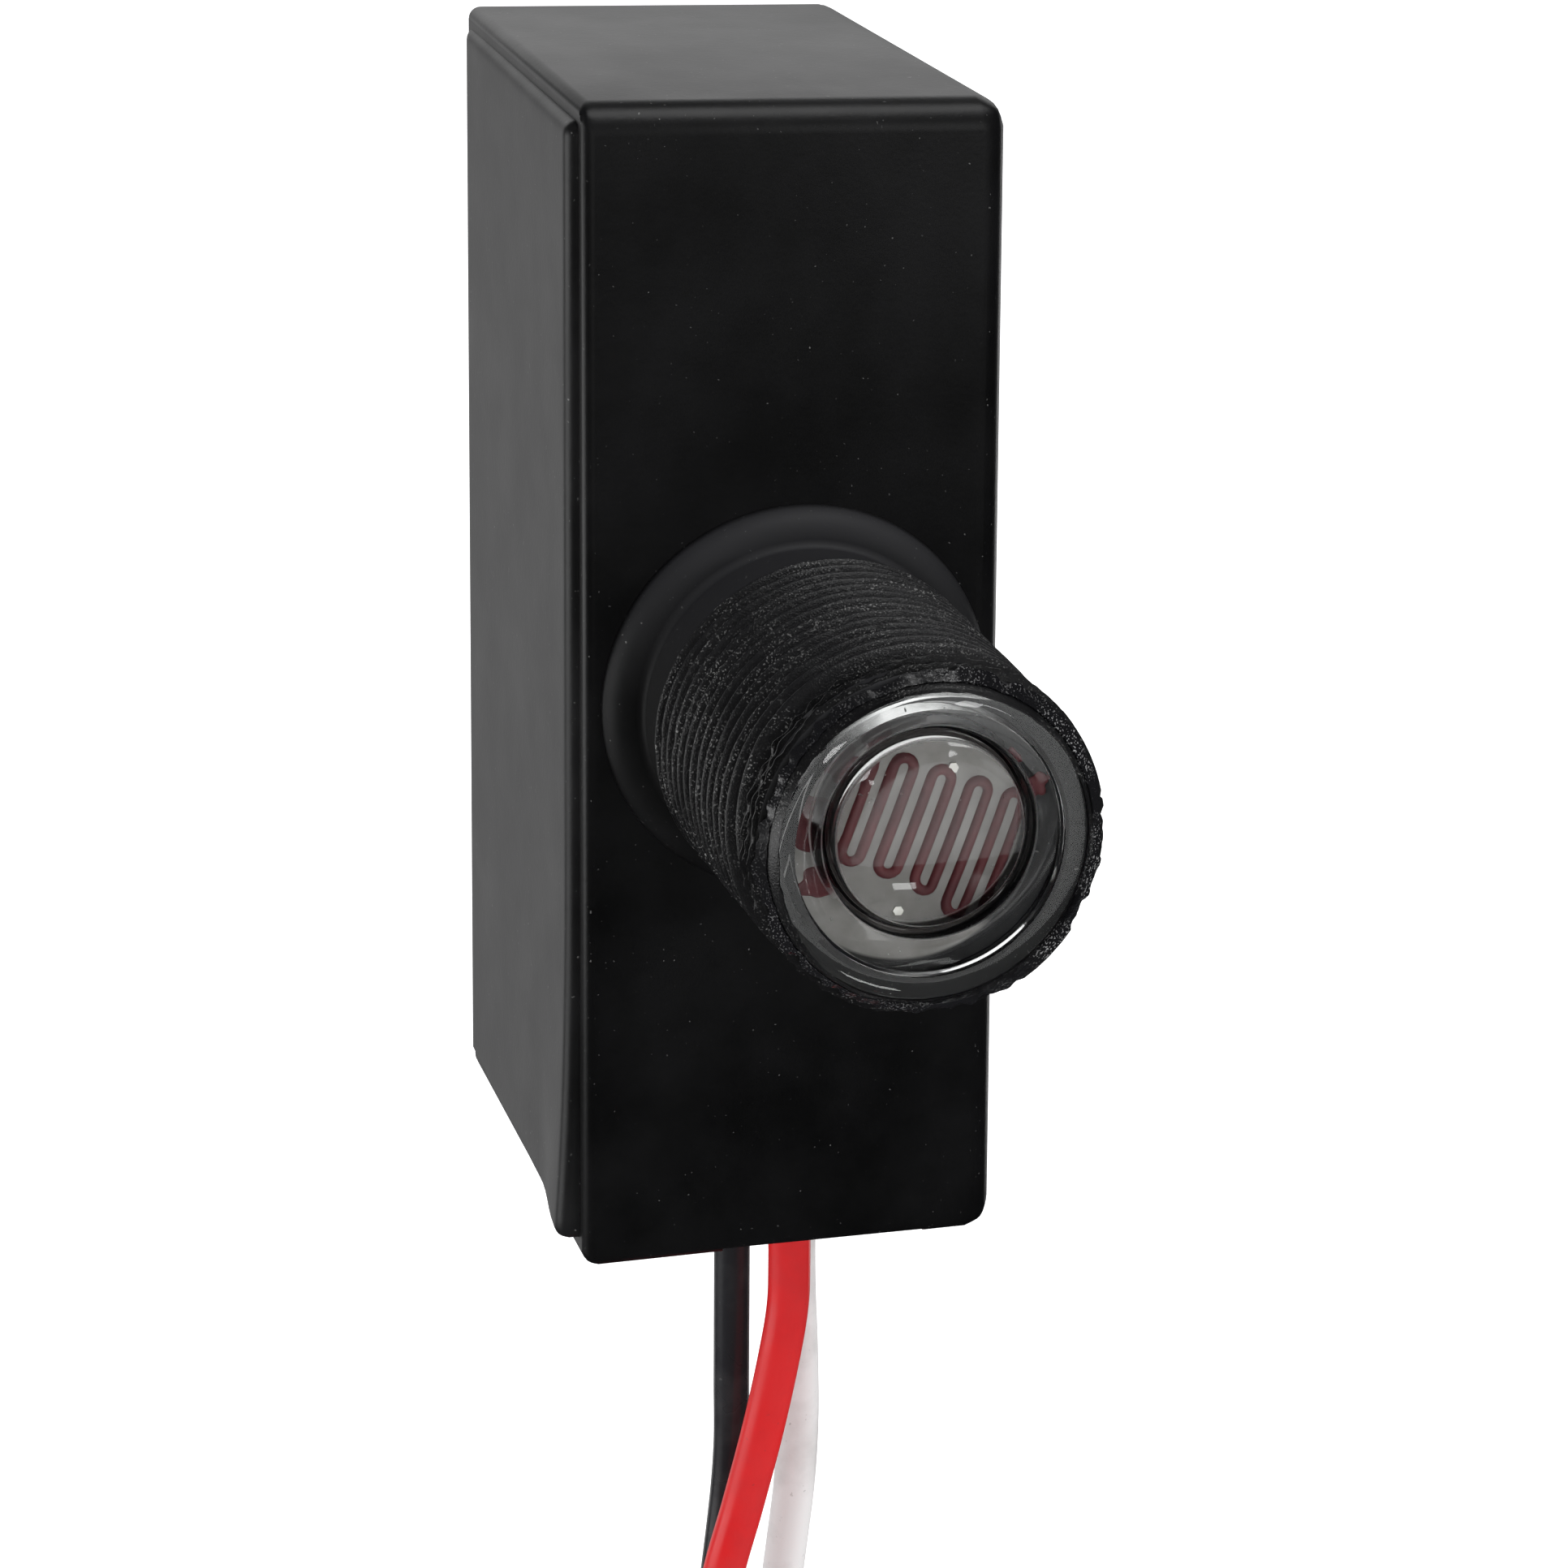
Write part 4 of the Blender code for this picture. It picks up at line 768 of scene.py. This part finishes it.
foot = ROOT_RADIUS - 0.0003
crest = THREAD_RADIUS
section = [
    (foot, -0.00058), (ROOT_RADIUS + 0.00015, -0.00043), (crest - 0.00022, -0.00020),
    (crest - 0.00006, -0.00012), (crest, -0.00004), (crest, 0.00004), (crest - 0.00006, 0.00012),
    (crest - 0.00022, 0.00020), (ROOT_RADIUS + 0.00015, 0.00043), (foot, 0.00058),
]
deselect()
bpy.ops.mesh.primitive_circle_add(
    vertices=len(section), radius=PITCH, fill_type="NOTHING", location=(0, 0, 0)
)
thread = bpy.context.object
thread.name = "nozzle_thread"
for vert, (radius, rise) in zip(thread.data.vertices, section):
    vert.co = (radius, 0, rise)
winding = thread.modifiers.new("Winding", "SCREW")
winding.steps = winding.render_steps = STEPS
winding.iterations = TURNS
winding.screw_offset = PITCH
finish_modifier(thread, winding)
start_edit(thread)
bpy.ops.mesh.select_all(action="DESELECT")
bpy.ops.mesh.select_mode(type="EDGE")
bpy.ops.mesh.select_non_manifold()
bpy.ops.mesh.edge_face_add()
end_edit()
print("thread wound:", len(thread.data.polygons), "faces")

# %% Ease its ends and wear its crest
RUN_OUT = PITCH / 3
LOWEST = 0.2
DENTS = 170
DENT_REACH = 0.0006
DENT_DEPTH = 0.00010
RUB_DEPTH = 0.00002
THREAD_TURN = math.radians(-94)

length = TURNS * PITCH
worn = random.Random(7)
dents = []
for _ in range(DENTS):
    along, at = worn.uniform(0, length), worn.uniform(-math.pi, math.pi)
    dents.append((along, at, worn.uniform(0.2, 1.0)))
for vert in thread.data.vertices:
    radius = math.hypot(vert.co.x, vert.co.y)
    angle = math.atan2(vert.co.y, vert.co.x)
    share = angle / math.tau
    advance = share * PITCH + PITCH * round(vert.co.z / PITCH - share)
    height = max(LOWEST, min(1.0, min(advance, length - advance) / RUN_OUT))
    wear = RUB_DEPTH * (1 + math.sin(5 * angle + advance * 900))
    for along, at, size in dents:
        apart = math.remainder(angle - at, math.tau) * radius
        if abs(vert.co.z - along) < PITCH / 2 and abs(apart) < DENT_REACH:
            wear += DENT_DEPTH * size * (1 - abs(apart) / DENT_REACH)
    top = foot + (radius - foot) * height
    if radius > ROOT_RADIUS + 0.0003:
        top -= wear
    vert.co.x *= top / radius
    vert.co.y *= top / radius
lay_down = Matrix.Rotation(math.pi / 2, 4, "X")
move_out = Matrix.Translation((0, 0, THREAD_START))
thread.data.transform(lay_down @ move_out @ Matrix.Rotation(THREAD_TURN, 4, "Z"))
start_edit(thread)
close_up(weld=False)
smooth_piece(thread, 40)
print("thread eased:", len(dents), "dents")

# %% [markdown]
# The thread is rougher than the walls, and pale dust lies all over its crests, where
# nobody wipes it. It is the same recipe with a coarser grain and more dust.

# %% Finish the thread
# The thread gets painted light on its upper side too.
thread_black = moulded(
    "thread_black", (0.0035, 0.0035, 0.0038), (0.21, 0.21, 0.205), (0.28, 0.42), 0.00005,
    grain=9000.0, dust=0.92, specks=8000.0, painted_top_light=(0.014, 0.014, 0.015),
)
dress(thread, thread_black, "housing_shell")
print("thread finished")

# %% [markdown]
# ## The side cover
#
# The cover is a separate flat moulding glued into the rebate. On the real one its
# lower front corner has sprung out a little, so it catches the light along that edge.
# A block is drawn to the rebate's shape, subdivided, pushed out near that corner and
# then bevelled finely all round.

# %% Shape the cover
SEAM = 0.00045
CORNER = math.radians(50)
PROUD = 0.00075
PROUD_REAR = 0.00040
BOW_HEIGHT = 0.00086
BOW_LENGTH = 0.030
BOW_START = 0.0020
BOW_REACH = 0.010
COVER_EDGE = 0.0009


def stands_out(place):
    """Whether a point lies outside the housing's left wall."""
    return place.x < -WIDTH / 2 + SIDE_LEAN * place.y


inset = LIP + SEAM
cover = outline_block(
    "cover_plate", -WIDTH / 2 - PROUD, -WIDTH / 2 + REBATE_DEPTH - 0.0003,
    inset, DEPTH - inset, inset, BOTTOM_LIP + SEAM,
)
start_edit(cover)
outer_rear = -WIDTH / 2 + SIDE_LEAN * DEPTH - PROUD / 2
pick(cover, "VERT", lambda v: v.co.y > DEPTH / 2 and v.co.x < outer_rear)
bpy.ops.transform.translate(value=(PROUD - PROUD_REAR, 0, 0))
end_edit()
for axis, longer_than, cuts in ((2, DEPTH, 47), (1, DEPTH / 2, 23)):
    start_edit(cover)
    pick(cover, "EDGE", lambda e: run_of(e)[axis] > longer_than)
    bpy.ops.mesh.subdivide(number_cuts=cuts)
    end_edit()
for vert in cover.data.vertices:
    down = (vert.co.z + BOTTOM) / BOW_LENGTH
    near = min(1.0, (BOW_REACH - vert.co.y) / (BOW_REACH - BOW_START))
    if stands_out(vert.co) and down < 1 and near > 0:
        vert.co.x -= BOW_HEIGHT * (1 - max(0.0, down)) ** 3 * near**2 * (3 - 2 * near)
start_edit(cover)
pick(cover, "EDGE", lambda e: e.calc_face_angle() > CORNER and stands_out(middle_of(e)))
bpy.ops.mesh.bevel(offset=COVER_EDGE, segments=6)
end_edit()
smooth_piece(cover)
dress(cover, cover_black, "side_cover")
print("cover:", len(cover.data.polygons), "faces")

# %% [markdown]
# The cover is welded in, so its seam is a soft valley and not an open slot. The weld is a
# thin frame in the gap: a plate to the rebate's outline with its middle cut out.

# %% Fill the seam with its weld
WELD_DEPTH = 0.00002
WELD_BITE = 0.00004
WELD_OVERLAP = 0.00015

rim = LIP - WELD_BITE
weld = outline_block(
    "seam_weld", -WIDTH / 2 + WELD_DEPTH, -WIDTH / 2 + REBATE_DEPTH - 0.0002,
    rim, DEPTH - rim, rim, BOTTOM_LIP - WELD_BITE,
)
rim = inset + WELD_OVERLAP
hole = outline_block(
    "hole", -WIDTH / 2 - OVERSHOOT, 0, rim, DEPTH - rim, rim, BOTTOM_LIP + SEAM + WELD_OVERLAP
)
combine(weld, hole, "DIFFERENCE")
smooth_piece(weld)
dress(weld, cover_black, "side_cover")
print("weld:", len(weld.data.polygons), "faces")

# %% [markdown]
# ## The lens
#
# The lens is turned or moulded from clear acrylic: a rim with a rounded edge, a ring
# groove, and a low domed eye inside the groove that magnifies the cell. It is spun from
# its profile as one closed solid, so light bends through it as it does in the real one.

# %% Spin the lens
LENS_SEAT = NOZZLE + 0.0003
LENS_RADIUS = 0.00945
LENS_EDGE = 0.0013
FACE_CURVE = 0.045
EYE_RADIUS = 0.0056
RING_RADIUS = 0.0064
RING_DEPTH = 0.0007
EYE_RISE = 0.00085
EYE_OFFSET = (-0.0004, 0.00110)
EYE_SHIFT_REACH = 0.0076
LIP_RADIUS = 0.00010
SPIGOT_CHAMFER = 0.0003

shoulder = LENS_RADIUS - LENS_EDGE


def lens_front(radius):
    return LENS_SEAT + LENS_EDGE + (shoulder**2 - radius**2) / (2 * FACE_CURVE)


def move_with_eye(vert):
    """Moves a point off the axis with the eye, less and less towards the lens's edge."""
    radius = math.hypot(vert.co.x, vert.co.z)
    share = min(1.0, max(0.0, (LENS_RADIUS - radius) / (LENS_RADIUS - EYE_SHIFT_REACH)))
    vert.co.x += EYE_OFFSET[0] * share
    vert.co.z += EYE_OFFSET[1] * share


eye_foot = lens_front(EYE_RADIUS)
groove = lens_front(RING_RADIUS) - RING_DEPTH
spigot = BORE_RADIUS - 0.0003
under = LENS_SEAT - 0.0014
middle = (EYE_RADIUS + RING_RADIUS) / 2
half = (RING_RADIUS - EYE_RADIUS) / 2 - 0.00008
lens = turn("clear_lens", [
    *[(EYE_RADIUS * i / 16, eye_foot + EYE_RISE * (1 - (i / 16) ** 2)) for i in range(16)],
    *arc((EYE_RADIUS - 0.00008, eye_foot - 0.00006), LIP_RADIUS, 80, 0, 4),
    *arc((middle, groove + half), half, 180, 360, 14),
    *arc((RING_RADIUS + 0.00006, groove + RING_DEPTH - LIP_RADIUS), LIP_RADIUS, 180, 95, 4),
    *[(r, lens_front(r)) for r in (0.0067, 0.0069, 0.0072, 0.0075, 0.0078)],
    *arc((shoulder, LENS_SEAT), LENS_EDGE, 85, 4, 14),
    (LENS_RADIUS, LENS_SEAT),
    (spigot, LENS_SEAT),
    (spigot, under + SPIGOT_CHAMFER),
    (spigot - SPIGOT_CHAMFER, under),
    (0, under),
], 144)
for vert in lens.data.vertices:
    if vert.co.y < -LENS_SEAT - LIP_RADIUS:
        move_with_eye(vert)
smooth_piece(lens, 50)
lens.visible_shadow = False
print("lens:", len(lens.data.polygons), "faces")

# %% [markdown]
# The acrylic is clear with a faint haze. The bottom of the groove gets painted shade, a dark
# tint in the glass, and its two edges are scuffed, so they catch a thin line of light.

# %% Clear the lens and paint shade into its groove
GROOVE_SHADE_EDGES = (0.00028, 0.00040)
SCUFF_PLACE = 0.00042
SCUFF_EDGES = (0.00003, 0.00008)


def distance_across(tree, centre):
    """How far a point is from the nozzle's axis, moved to this centre."""
    axes = split_axes(tree)
    aside = maths(tree, "SUBTRACT", axes["X"], centre[0])
    above = maths(tree, "SUBTRACT", axes["Z"], centre[1])
    squares = [maths(tree, "MULTIPLY", offset, offset) for offset in (aside, above)]
    return maths(tree, "SQRT", maths(tree, "ADD", *squares))


clear, tree, shader = new_finish("clear_acrylic")
# painted shade: the glass's colour is tinted dark along the middle of the groove
away = maths(tree, "SUBTRACT", distance_across(tree, EYE_OFFSET), middle)
away = maths(tree, "ABSOLUTE", away)
tint_share = spread(tree, away, *GROOVE_SHADE_EDGES, 1.0, 0.0)
groove_shaded = blend_colours(tree, tint_share, (0.96, 0.97, 0.96), (0.02, 0.018, 0.018))
feed_all(tree, shader, Metallic=0.0, Transmission_Weight=1.0, IOR=1.49)
marks = use_group(tree, smudge_group, Smudge_Scale=150.0, Dust_Scale=3000.0, Dust_Amount=0.35)
from_edge = maths(tree, "ABSOLUTE", maths(tree, "SUBTRACT", away, SCUFF_PLACE))
hazy = spread(tree, marks["Smudge"], 0.0, 1.0, 0.0, 0.05)
hazy = maths(tree, "ADD", hazy, maths(tree, "MULTIPLY", marks["Dust"], 0.4))
hazy = maths(tree, "ADD", hazy, spread(tree, from_edge, *SCUFF_EDGES, 0.45, 0.0))
ripple = use_group(tree, grain_group, Scale=350.0, Waviness=1.5)
surface(tree, shader, groove_shaded, hazy, ripple, 0.000006)
dress(lens, clear, "lens")
print("lens finished")

# %% [markdown]
# ## The ragged rim
#
# The nozzle's end was softened and pressed over the lens, and a clear adhesive was run
# round it by hand. So the rim is torn into a few uneven black lips, and a thin flash of
# the adhesive stands out at the right. Each lip is spun as an even ring, and its radius is
# then moved by a sum of waves, so that it swells, thins and tears like the real one.

# %% Press the lips
RIM_STEPS = 288
LIP_FOOT = LAND_RADIUS - 0.0002
LIPS = [
    (NOZZLE - 0.00035, 0.00066, 0.35),
    (NOZZLE - 0.00110, 0.00074, 0.22),
    (NOZZLE - 0.00195, 0.00066, 0.18),
]
LIP_SECTION = [
    (0, 0.00028), (0.6, 0.00020), (1, 0.00006), (0.96, -0.00006), (0.5, -0.00016),
    (0, -0.00024), (0, 0.00028),
]


def ragged_ring(name, profile, anchor, low, seed, material, node):
    """An uneven ring. The profile is scaled away from the anchor radius by a random
    share between low and 1, which is larger towards the right."""
    ring = turn(name, profile, RIM_STEPS)
    chance = random.Random(seed)
    waves = []
    for _ in range(18):
        count = round(2 * 36 ** chance.random())
        waves.append((count, chance.uniform(0, math.tau), chance.uniform(0.3, 1.0)))
    for vert in ring.data.vertices:
        angle = math.atan2(vert.co.z, vert.co.x)
        uneven = sum(size * math.sin(count * angle + start) for count, start, size in waves) / 5
        right = max(0.0, math.cos(angle - 0.15)) ** 0.7
        share = (low + 1) / 2 + (1 - low) * (0.5 * uneven + 0.45 * right)
        share = max(low, min(1.0, share))
        radius = math.hypot(vert.co.x, vert.co.z)
        wider = anchor + (radius - anchor) * share
        vert.co.x *= wider / radius
        vert.co.z *= wider / radius
        vert.co.y += 0.00008 * uneven * (radius > anchor)
    smooth_piece(ring, 50)
    dress(ring, material, node)
    print(name, len(ring.data.polygons), "faces")
    return ring


def lip_profile(out, rise):
    """A lip's section: it stands this high on its foot, and is thicker there."""
    return [(LIP_FOOT + rise * share, out + along) for share, along in LIP_SECTION]


lip_black = moulded(
    "lip_black", (0.003, 0.003, 0.0033), (0.15, 0.15, 0.145), (0.28, 0.42), 0.00003,
    grain=8000.0, dust=0.8, specks=9500.0,
)
for number, (out, rise, low) in enumerate(LIPS):
    ragged_ring(
        f"end_lip_{number + 1}", lip_profile(out, rise), LIP_FOOT, low, 11 + number,
        lip_black, "housing_shell",
    )

# %% [markdown]
# At the upper left the soft plastic folds over the lens's rounded edge. The fold starts as
# an even band round that edge, and is then rolled back everywhere that the photograph
# shows less of it.

# %% Fold the softened end over the lens
FOLD_DEGREES = 58
FOLD_TOP = 0.00030
FOLD_UNDER = 0.00012
FOLD_MIDDLE = math.radians(125)
LEAST_FOLD = 0.06

fold = turn("end_fold", [
    *arc((shoulder, LENS_SEAT), LENS_EDGE + FOLD_TOP, 0, FOLD_DEGREES, 12),
    *arc((shoulder, LENS_SEAT), LENS_EDGE + FOLD_UNDER, FOLD_DEGREES, 0, 12),
    (LENS_RADIUS + FOLD_TOP, LENS_SEAT),
], RIM_STEPS)
chance = random.Random(5)
waves = [(round(3 * 20 ** chance.random()), chance.uniform(0, math.tau)) for _ in range(10)]
for vert in fold.data.vertices:
    angle = math.atan2(vert.co.z, vert.co.x)
    uneven = sum(math.sin(count * angle + start) for count, start in waves) / 14
    covered = 1.35 * math.cos(0.62 * math.remainder(angle - FOLD_MIDDLE, math.tau))
    share = min(1.0, max(0.0, covered)) * (0.85 + 0.18 * uneven)
    share = max(LEAST_FOLD, min(1.0, share))
    radius = math.hypot(vert.co.x, vert.co.z)
    rise = math.atan2(-vert.co.y - LENS_SEAT, radius - shoulder)
    out = math.hypot(-vert.co.y - LENS_SEAT, radius - shoulder)
    lower = shoulder + out * math.cos(rise * share)
    vert.co.x *= lower / radius
    vert.co.z *= lower / radius
    vert.co.y = -LENS_SEAT - out * math.sin(rise * share)
    move_with_eye(vert)
smooth_piece(fold, 50)
dress(fold, lip_black, "housing_shell")
print("fold:", len(fold.data.polygons), "faces")

# %% Run the adhesive round the end
LENS_GAP = LENS_RADIUS + 0.00015
BEAD = [
    (0, 0), (0, 0.00030), (0.00020, 0.00052), (0.00050, 0.00034), (0.00095, 0.00008),
    (0.00090, -0.00002), (0.00040, 0), (0, 0),
]

adhesive, tree, shader = new_finish("cured_adhesive")
texture = use_group(tree, grain_group, Scale=2600.0, Waviness=0.8)
marks = use_group(tree, smudge_group, Dust_Scale=8000.0, Dust_Amount=1.0)
# painted glints: silvery specks painted into the adhesive's colour, more towards the right
to_right = spread(tree, split_axes(tree)["X"], 0.0, 0.008, 0.3, 1.0)
glints = maths(tree, "MULTIPLY", marks["Dust"], to_right)
glinting = blend_colours(tree, glints, (0.008, 0.008, 0.009), (0.34, 0.34, 0.34))
surface(tree, shader, glinting, (0.12, 0.35), texture, 0.00004)
profile = [(LENS_GAP + across, LENS_SEAT + out) for across, out in BEAD]
ragged_ring("adhesive_bead", profile, LENS_GAP, 0.25, 3, adhesive, "lens_seal")

# %% [markdown]
# ## The light cell
#
# Under the eye sits a photoresistor: a ceramic disc with two metal areas and a thin
# serpentine of maroon light-sensitive film between them. The film is a fine track that
# snakes up and down, with a lead's end at its top and bottom. The disc is spun, and the
# track is a flat ribbon drawn along the serpentine, just proud of the metal.

# %% Make the disc
CELL_RADIUS = 0.0063
FLANGE_RADIUS = 0.0078
# Outside this circle the metal gets painted shade, a near-black colour.
UNSHADED_RADIUS = 0.0070
UNSHADED_CENTRE = (-0.0011, 0.0)
CELL_FACE = under - 0.0004
CELL_DEPTH = 0.0020
CELL_TILT = math.radians(21)

disc = turn("cell_body", [
    (0, CELL_FACE), (CELL_RADIUS * 0.5, CELL_FACE), (FLANGE_RADIUS - 0.0001, CELL_FACE),
    *arc((FLANGE_RADIUS - 0.0001, CELL_FACE - 0.0001), 0.0001, 75, -75, 4),
    (CELL_RADIUS, CELL_FACE - 0.0002), (CELL_RADIUS, CELL_FACE - CELL_DEPTH + 0.0002),
    (CELL_RADIUS - 0.0002, CELL_FACE - CELL_DEPTH), (0, CELL_FACE - CELL_DEPTH),
], 96)
smooth_piece(disc, 40)


def on_cell(across, up, out):
    """A point on the cell, whose pattern is turned in the barrel."""
    cosine, sine = math.cos(CELL_TILT), math.sin(CELL_TILT)
    return Vector((across * cosine + up * sine, -out, up * cosine - across * sine))


print("disc:", len(disc.data.polygons), "faces")

# %% Lay the serpentine track
RUNS = 12
TRACK_PITCH = 0.00107
TRACK_SHIFT = -0.00038
TRACK_RADIUS = 0.00031
TRACK_RISE = 0.00008
TRACK_FIELD = 0.0060
HIGHEST_RUN = 0.0033
LOWEST_RUN = 0.0031
SHORTEST_RUN = 0.0018
RUN_GROWTH = 0.37
SIDE_POINTS = 12
TURN_POINTS = 8


def run_ends(x):
    """A run's lower and upper end. The lower ones get longer towards the right."""
    limit = math.sqrt(max(1e-7, TRACK_FIELD**2 - (abs(x) + TRACK_PITCH / 2) ** 2))
    lowest = max(SHORTEST_RUN, SHORTEST_RUN + RUN_GROWTH * x)
    return -min(limit, LOWEST_RUN, lowest), min(limit, HIGHEST_RUN)


track = []
for run in range(RUNS):
    x = (run - (RUNS - 1) / 2) * TRACK_PITCH + TRACK_SHIFT
    rising = run % 2 == 1
    low, high = run_ends(x)
    first, last = (low, high) if rising else (high, low)
    track += [(x, first + (last - first) * k / SIDE_POINTS) for k in range(SIDE_POINTS + 1)]
    if run < RUNS - 1:
        following = run_ends(x + TRACK_PITCH)[rising]
        for k in range(1, TURN_POINTS):
            turned = math.pi * (1 - k / TURN_POINTS)
            bulge = TRACK_PITCH / 2 * math.sin(turned) * (1 if rising else -1)
            end = last + (following - last) * k / TURN_POINTS + bulge
            track.append((x + TRACK_PITCH / 2 * (1 + math.cos(turned)), end))
route = [on_cell(x, up, CELL_FACE - TRACK_RISE) for x, up in track]
ribbon = as_mesh(wire("cell_track", route, TRACK_RADIUS))
smooth_piece(ribbon, 40)
print("track:", len(ribbon.data.polygons), "faces")

# %% Add the film's patches near the disc's edge
PATCHES = [
    (-0.0063, -0.0009, 0.0011, 0.0016), (-0.0050, -0.0042, 0.0010, 0.0009),
    (-0.0061, 0.0025, 0.0009, 0.0010), (-0.0050, 0.0048, 0.0010, 0.0007),
    (0.0031, 0.0057, 0.0006, 0.0005), (0.0050, 0.0048, 0.0007, 0.0006),
]
FILM_RISE = 0.0001

patches = []
for number, (across, up, wide, tall) in enumerate(PATCHES):
    deselect()
    bpy.ops.mesh.primitive_uv_sphere_add(segments=40, ring_count=12, radius=1, location=(0, 0, 0))
    patch = bpy.context.object
    patch.name = f"film_patch_{number + 1}"
    for vert in patch.data.vertices:
        x, y, z = vert.co
        angle = math.atan2(y, x)
        swell = 1 + 0.20 * math.sin(3 * angle + 2.1 * number) + 0.10 * math.sin(5 * angle + number)
        x, y = across + wide * swell * x, up + tall * swell * y
        vert.co = on_cell(x, y, CELL_FACE + FILM_RISE * z)
    start_edit(patch)
    close_up(weld=False)
    smooth_piece(patch, 60)
    patches.append(patch)
print("patches:", len(patches))

# %% Finish the disc and the track
metal, tree, shader = new_finish("cell_metal")
texture = use_group(tree, grain_group, Scale=3000.0)
marks = use_group(tree, smudge_group, Smudge_Scale=420.0)
colours = blend_colours(tree, marks["Smudge"], (0.245, 0.235, 0.225), (0.31, 0.30, 0.29))
# painted shade: the metal outside the unshaded circle is painted near black
off_centre = distance_across(tree, UNSHADED_CENTRE)
painted_shade = spread(tree, off_centre, UNSHADED_RADIUS - 0.0001, UNSHADED_RADIUS + 0.0001)
colours = blend_colours(tree, painted_shade, colours, (0.008, 0.008, 0.009))
feed_all(tree, shader, Metallic=0.25)
surface(tree, shader, colours, (0.40, 0.60), texture)
dress(disc, metal, "cell_disc")

film, tree, shader = new_finish("cell_film")
texture = use_group(tree, grain_group, Scale=5000.0)
colours = blend_colours(tree, texture["Patches"], (0.075, 0.008, 0.013), (0.12, 0.016, 0.021))
surface(tree, shader, colours, 0.5, texture)
for piece in (ribbon, *patches):
    dress(piece, film, "cell_disc")
print("cell finished")

# %% [markdown]
# ## Insulation, wire and the parts inside
#
# The leads' coats are soft plastic with a slight sheen and grey handling marks, which show
# most on the white one. What is inside the closed box keeps the solid model's shape and
# gets the finish of its kind, so that a cut through the part looks right too.

# %% Coat the leads
COATS = {
    "black": ((0.018, 0.018, 0.021), (0.07, 0.07, 0.07), (0.22, 0.34), 0.25),
    "red": ((0.70, 0.008, 0.010), (0.46, 0.016, 0.020), (0.30, 0.42), 0.3),
    "white": ((0.78, 0.76, 0.755), (0.48, 0.46, 0.45), (0.30, 0.45), 0.4),
}


def insulation(name, colour, stain, gloss, tint_share):
    """A lead's coat, with its stain's colour and how much of it there is."""
    made, tree, shader = new_finish(name)
    texture = use_group(tree, grain_group, Scale=1600.0, Waviness=1.2)
    marks = use_group(tree, smudge_group, Smudge_Scale=160.0, Dust_Scale=3000.0, Dust_Amount=tint_share)
    handled = spread(tree, marks["Smudge"], 0.3, 1.0, 0.0, tint_share)
    both = maths(tree, "MAXIMUM", handled, marks["Dust"])
    feed_all(tree, shader, Specular_IOR_Level=0.32)
    surface(tree, shader, blend_colours(tree, both, colour, stain), gloss, texture)
    return made


for colour, lead in lead_pieces.items():
    lead.data.materials.append(insulation(f"{colour}_coat", *COATS[colour]))
print("leads coated")

# %% Finish the carried-over solids
TIN = [f"{colour}_{end}" for colour in LEADS for end in ("bare_end", "solder_end")]
DIODES = [f"rectifier_diode_{number}" for number in range(1, 5)]
INNER = {
    "tinned_copper": (
        [*TIN, "cell_lead_a", "cell_lead_b"],
        (0.66, 0.65, 0.62), (0.50, 0.48, 0.45), (0.24, 0.40), 3000.0, 1.0,
    ),
    "woven_sleeve": (
        ["cell_sleeve_a", "cell_sleeve_b"], (0.62, 0.58, 0.44), (0.50, 0.45, 0.32), (0.5, 0.7),
    ),
    "holder_plastic": (["cell_holder"], (0.012, 0.012, 0.013), (0.02, 0.02, 0.02), (0.4, 0.55)),
    "board_laminate": (
        ["circuit_board"], (0.36, 0.22, 0.08), (0.27, 0.16, 0.06), (0.4, 0.6), 1500.0,
    ),
    "relay_plastic": (["relay"], (0.03, 0.09, 0.28), (0.04, 0.12, 0.34), (0.28, 0.4)),
    "film_capacitor_dip": (
        ["dropper_capacitor"], (0.52, 0.28, 0.04), (0.40, 0.20, 0.03), (0.25, 0.4),
    ),
    "can_sleeve": (
        ["smoothing_capacitor"], (0.02, 0.025, 0.05), (0.03, 0.035, 0.06), (0.25, 0.4),
    ),
    "varistor_dip": (["surge_varistor"], (0.04, 0.12, 0.36), (0.03, 0.09, 0.28), (0.3, 0.45)),
    "diode_epoxy": (
        [*DIODES, "switch_transistor"], (0.015, 0.015, 0.016), (0.03, 0.03, 0.03), (0.35, 0.5),
    ),
    "zener_glass": (["zener_diode"], (0.42, 0.12, 0.04), (0.50, 0.20, 0.08), (0.08, 0.2)),
    "resistor_lacquer": (
        ["load_resistor", "cell_resistor"], (0.42, 0.32, 0.18), (0.34, 0.25, 0.13), (0.35, 0.5),
    ),
    "bushing_rubber": (
        ["lead_bushing"], (0.010, 0.010, 0.011), (0.018, 0.018, 0.018), (0.5, 0.65),
    ),
}


def plain_part(name, colour, other, gloss, scale=900.0, metallic=0.0):
    """A finish with its own colour variation, uneven gloss and fine grain."""
    made, tree, shader = new_finish(name)
    texture = use_group(tree, grain_group, Scale=scale)
    marks = use_group(tree, smudge_group, Smudge_Scale=scale / 6)
    feed_all(tree, shader, Metallic=metallic)
    surface(tree, shader, blend_colours(tree, marks["Smudge"], colour, other), gloss, texture)
    return made


for name, (nodes, *recipe) in INNER.items():
    finish = plain_part(name, *recipe)
    for node in nodes:
        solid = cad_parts[node]
        solid.data.materials.clear()
        solid.data.materials.append(finish)
print("finishes inside:", len(INNER))
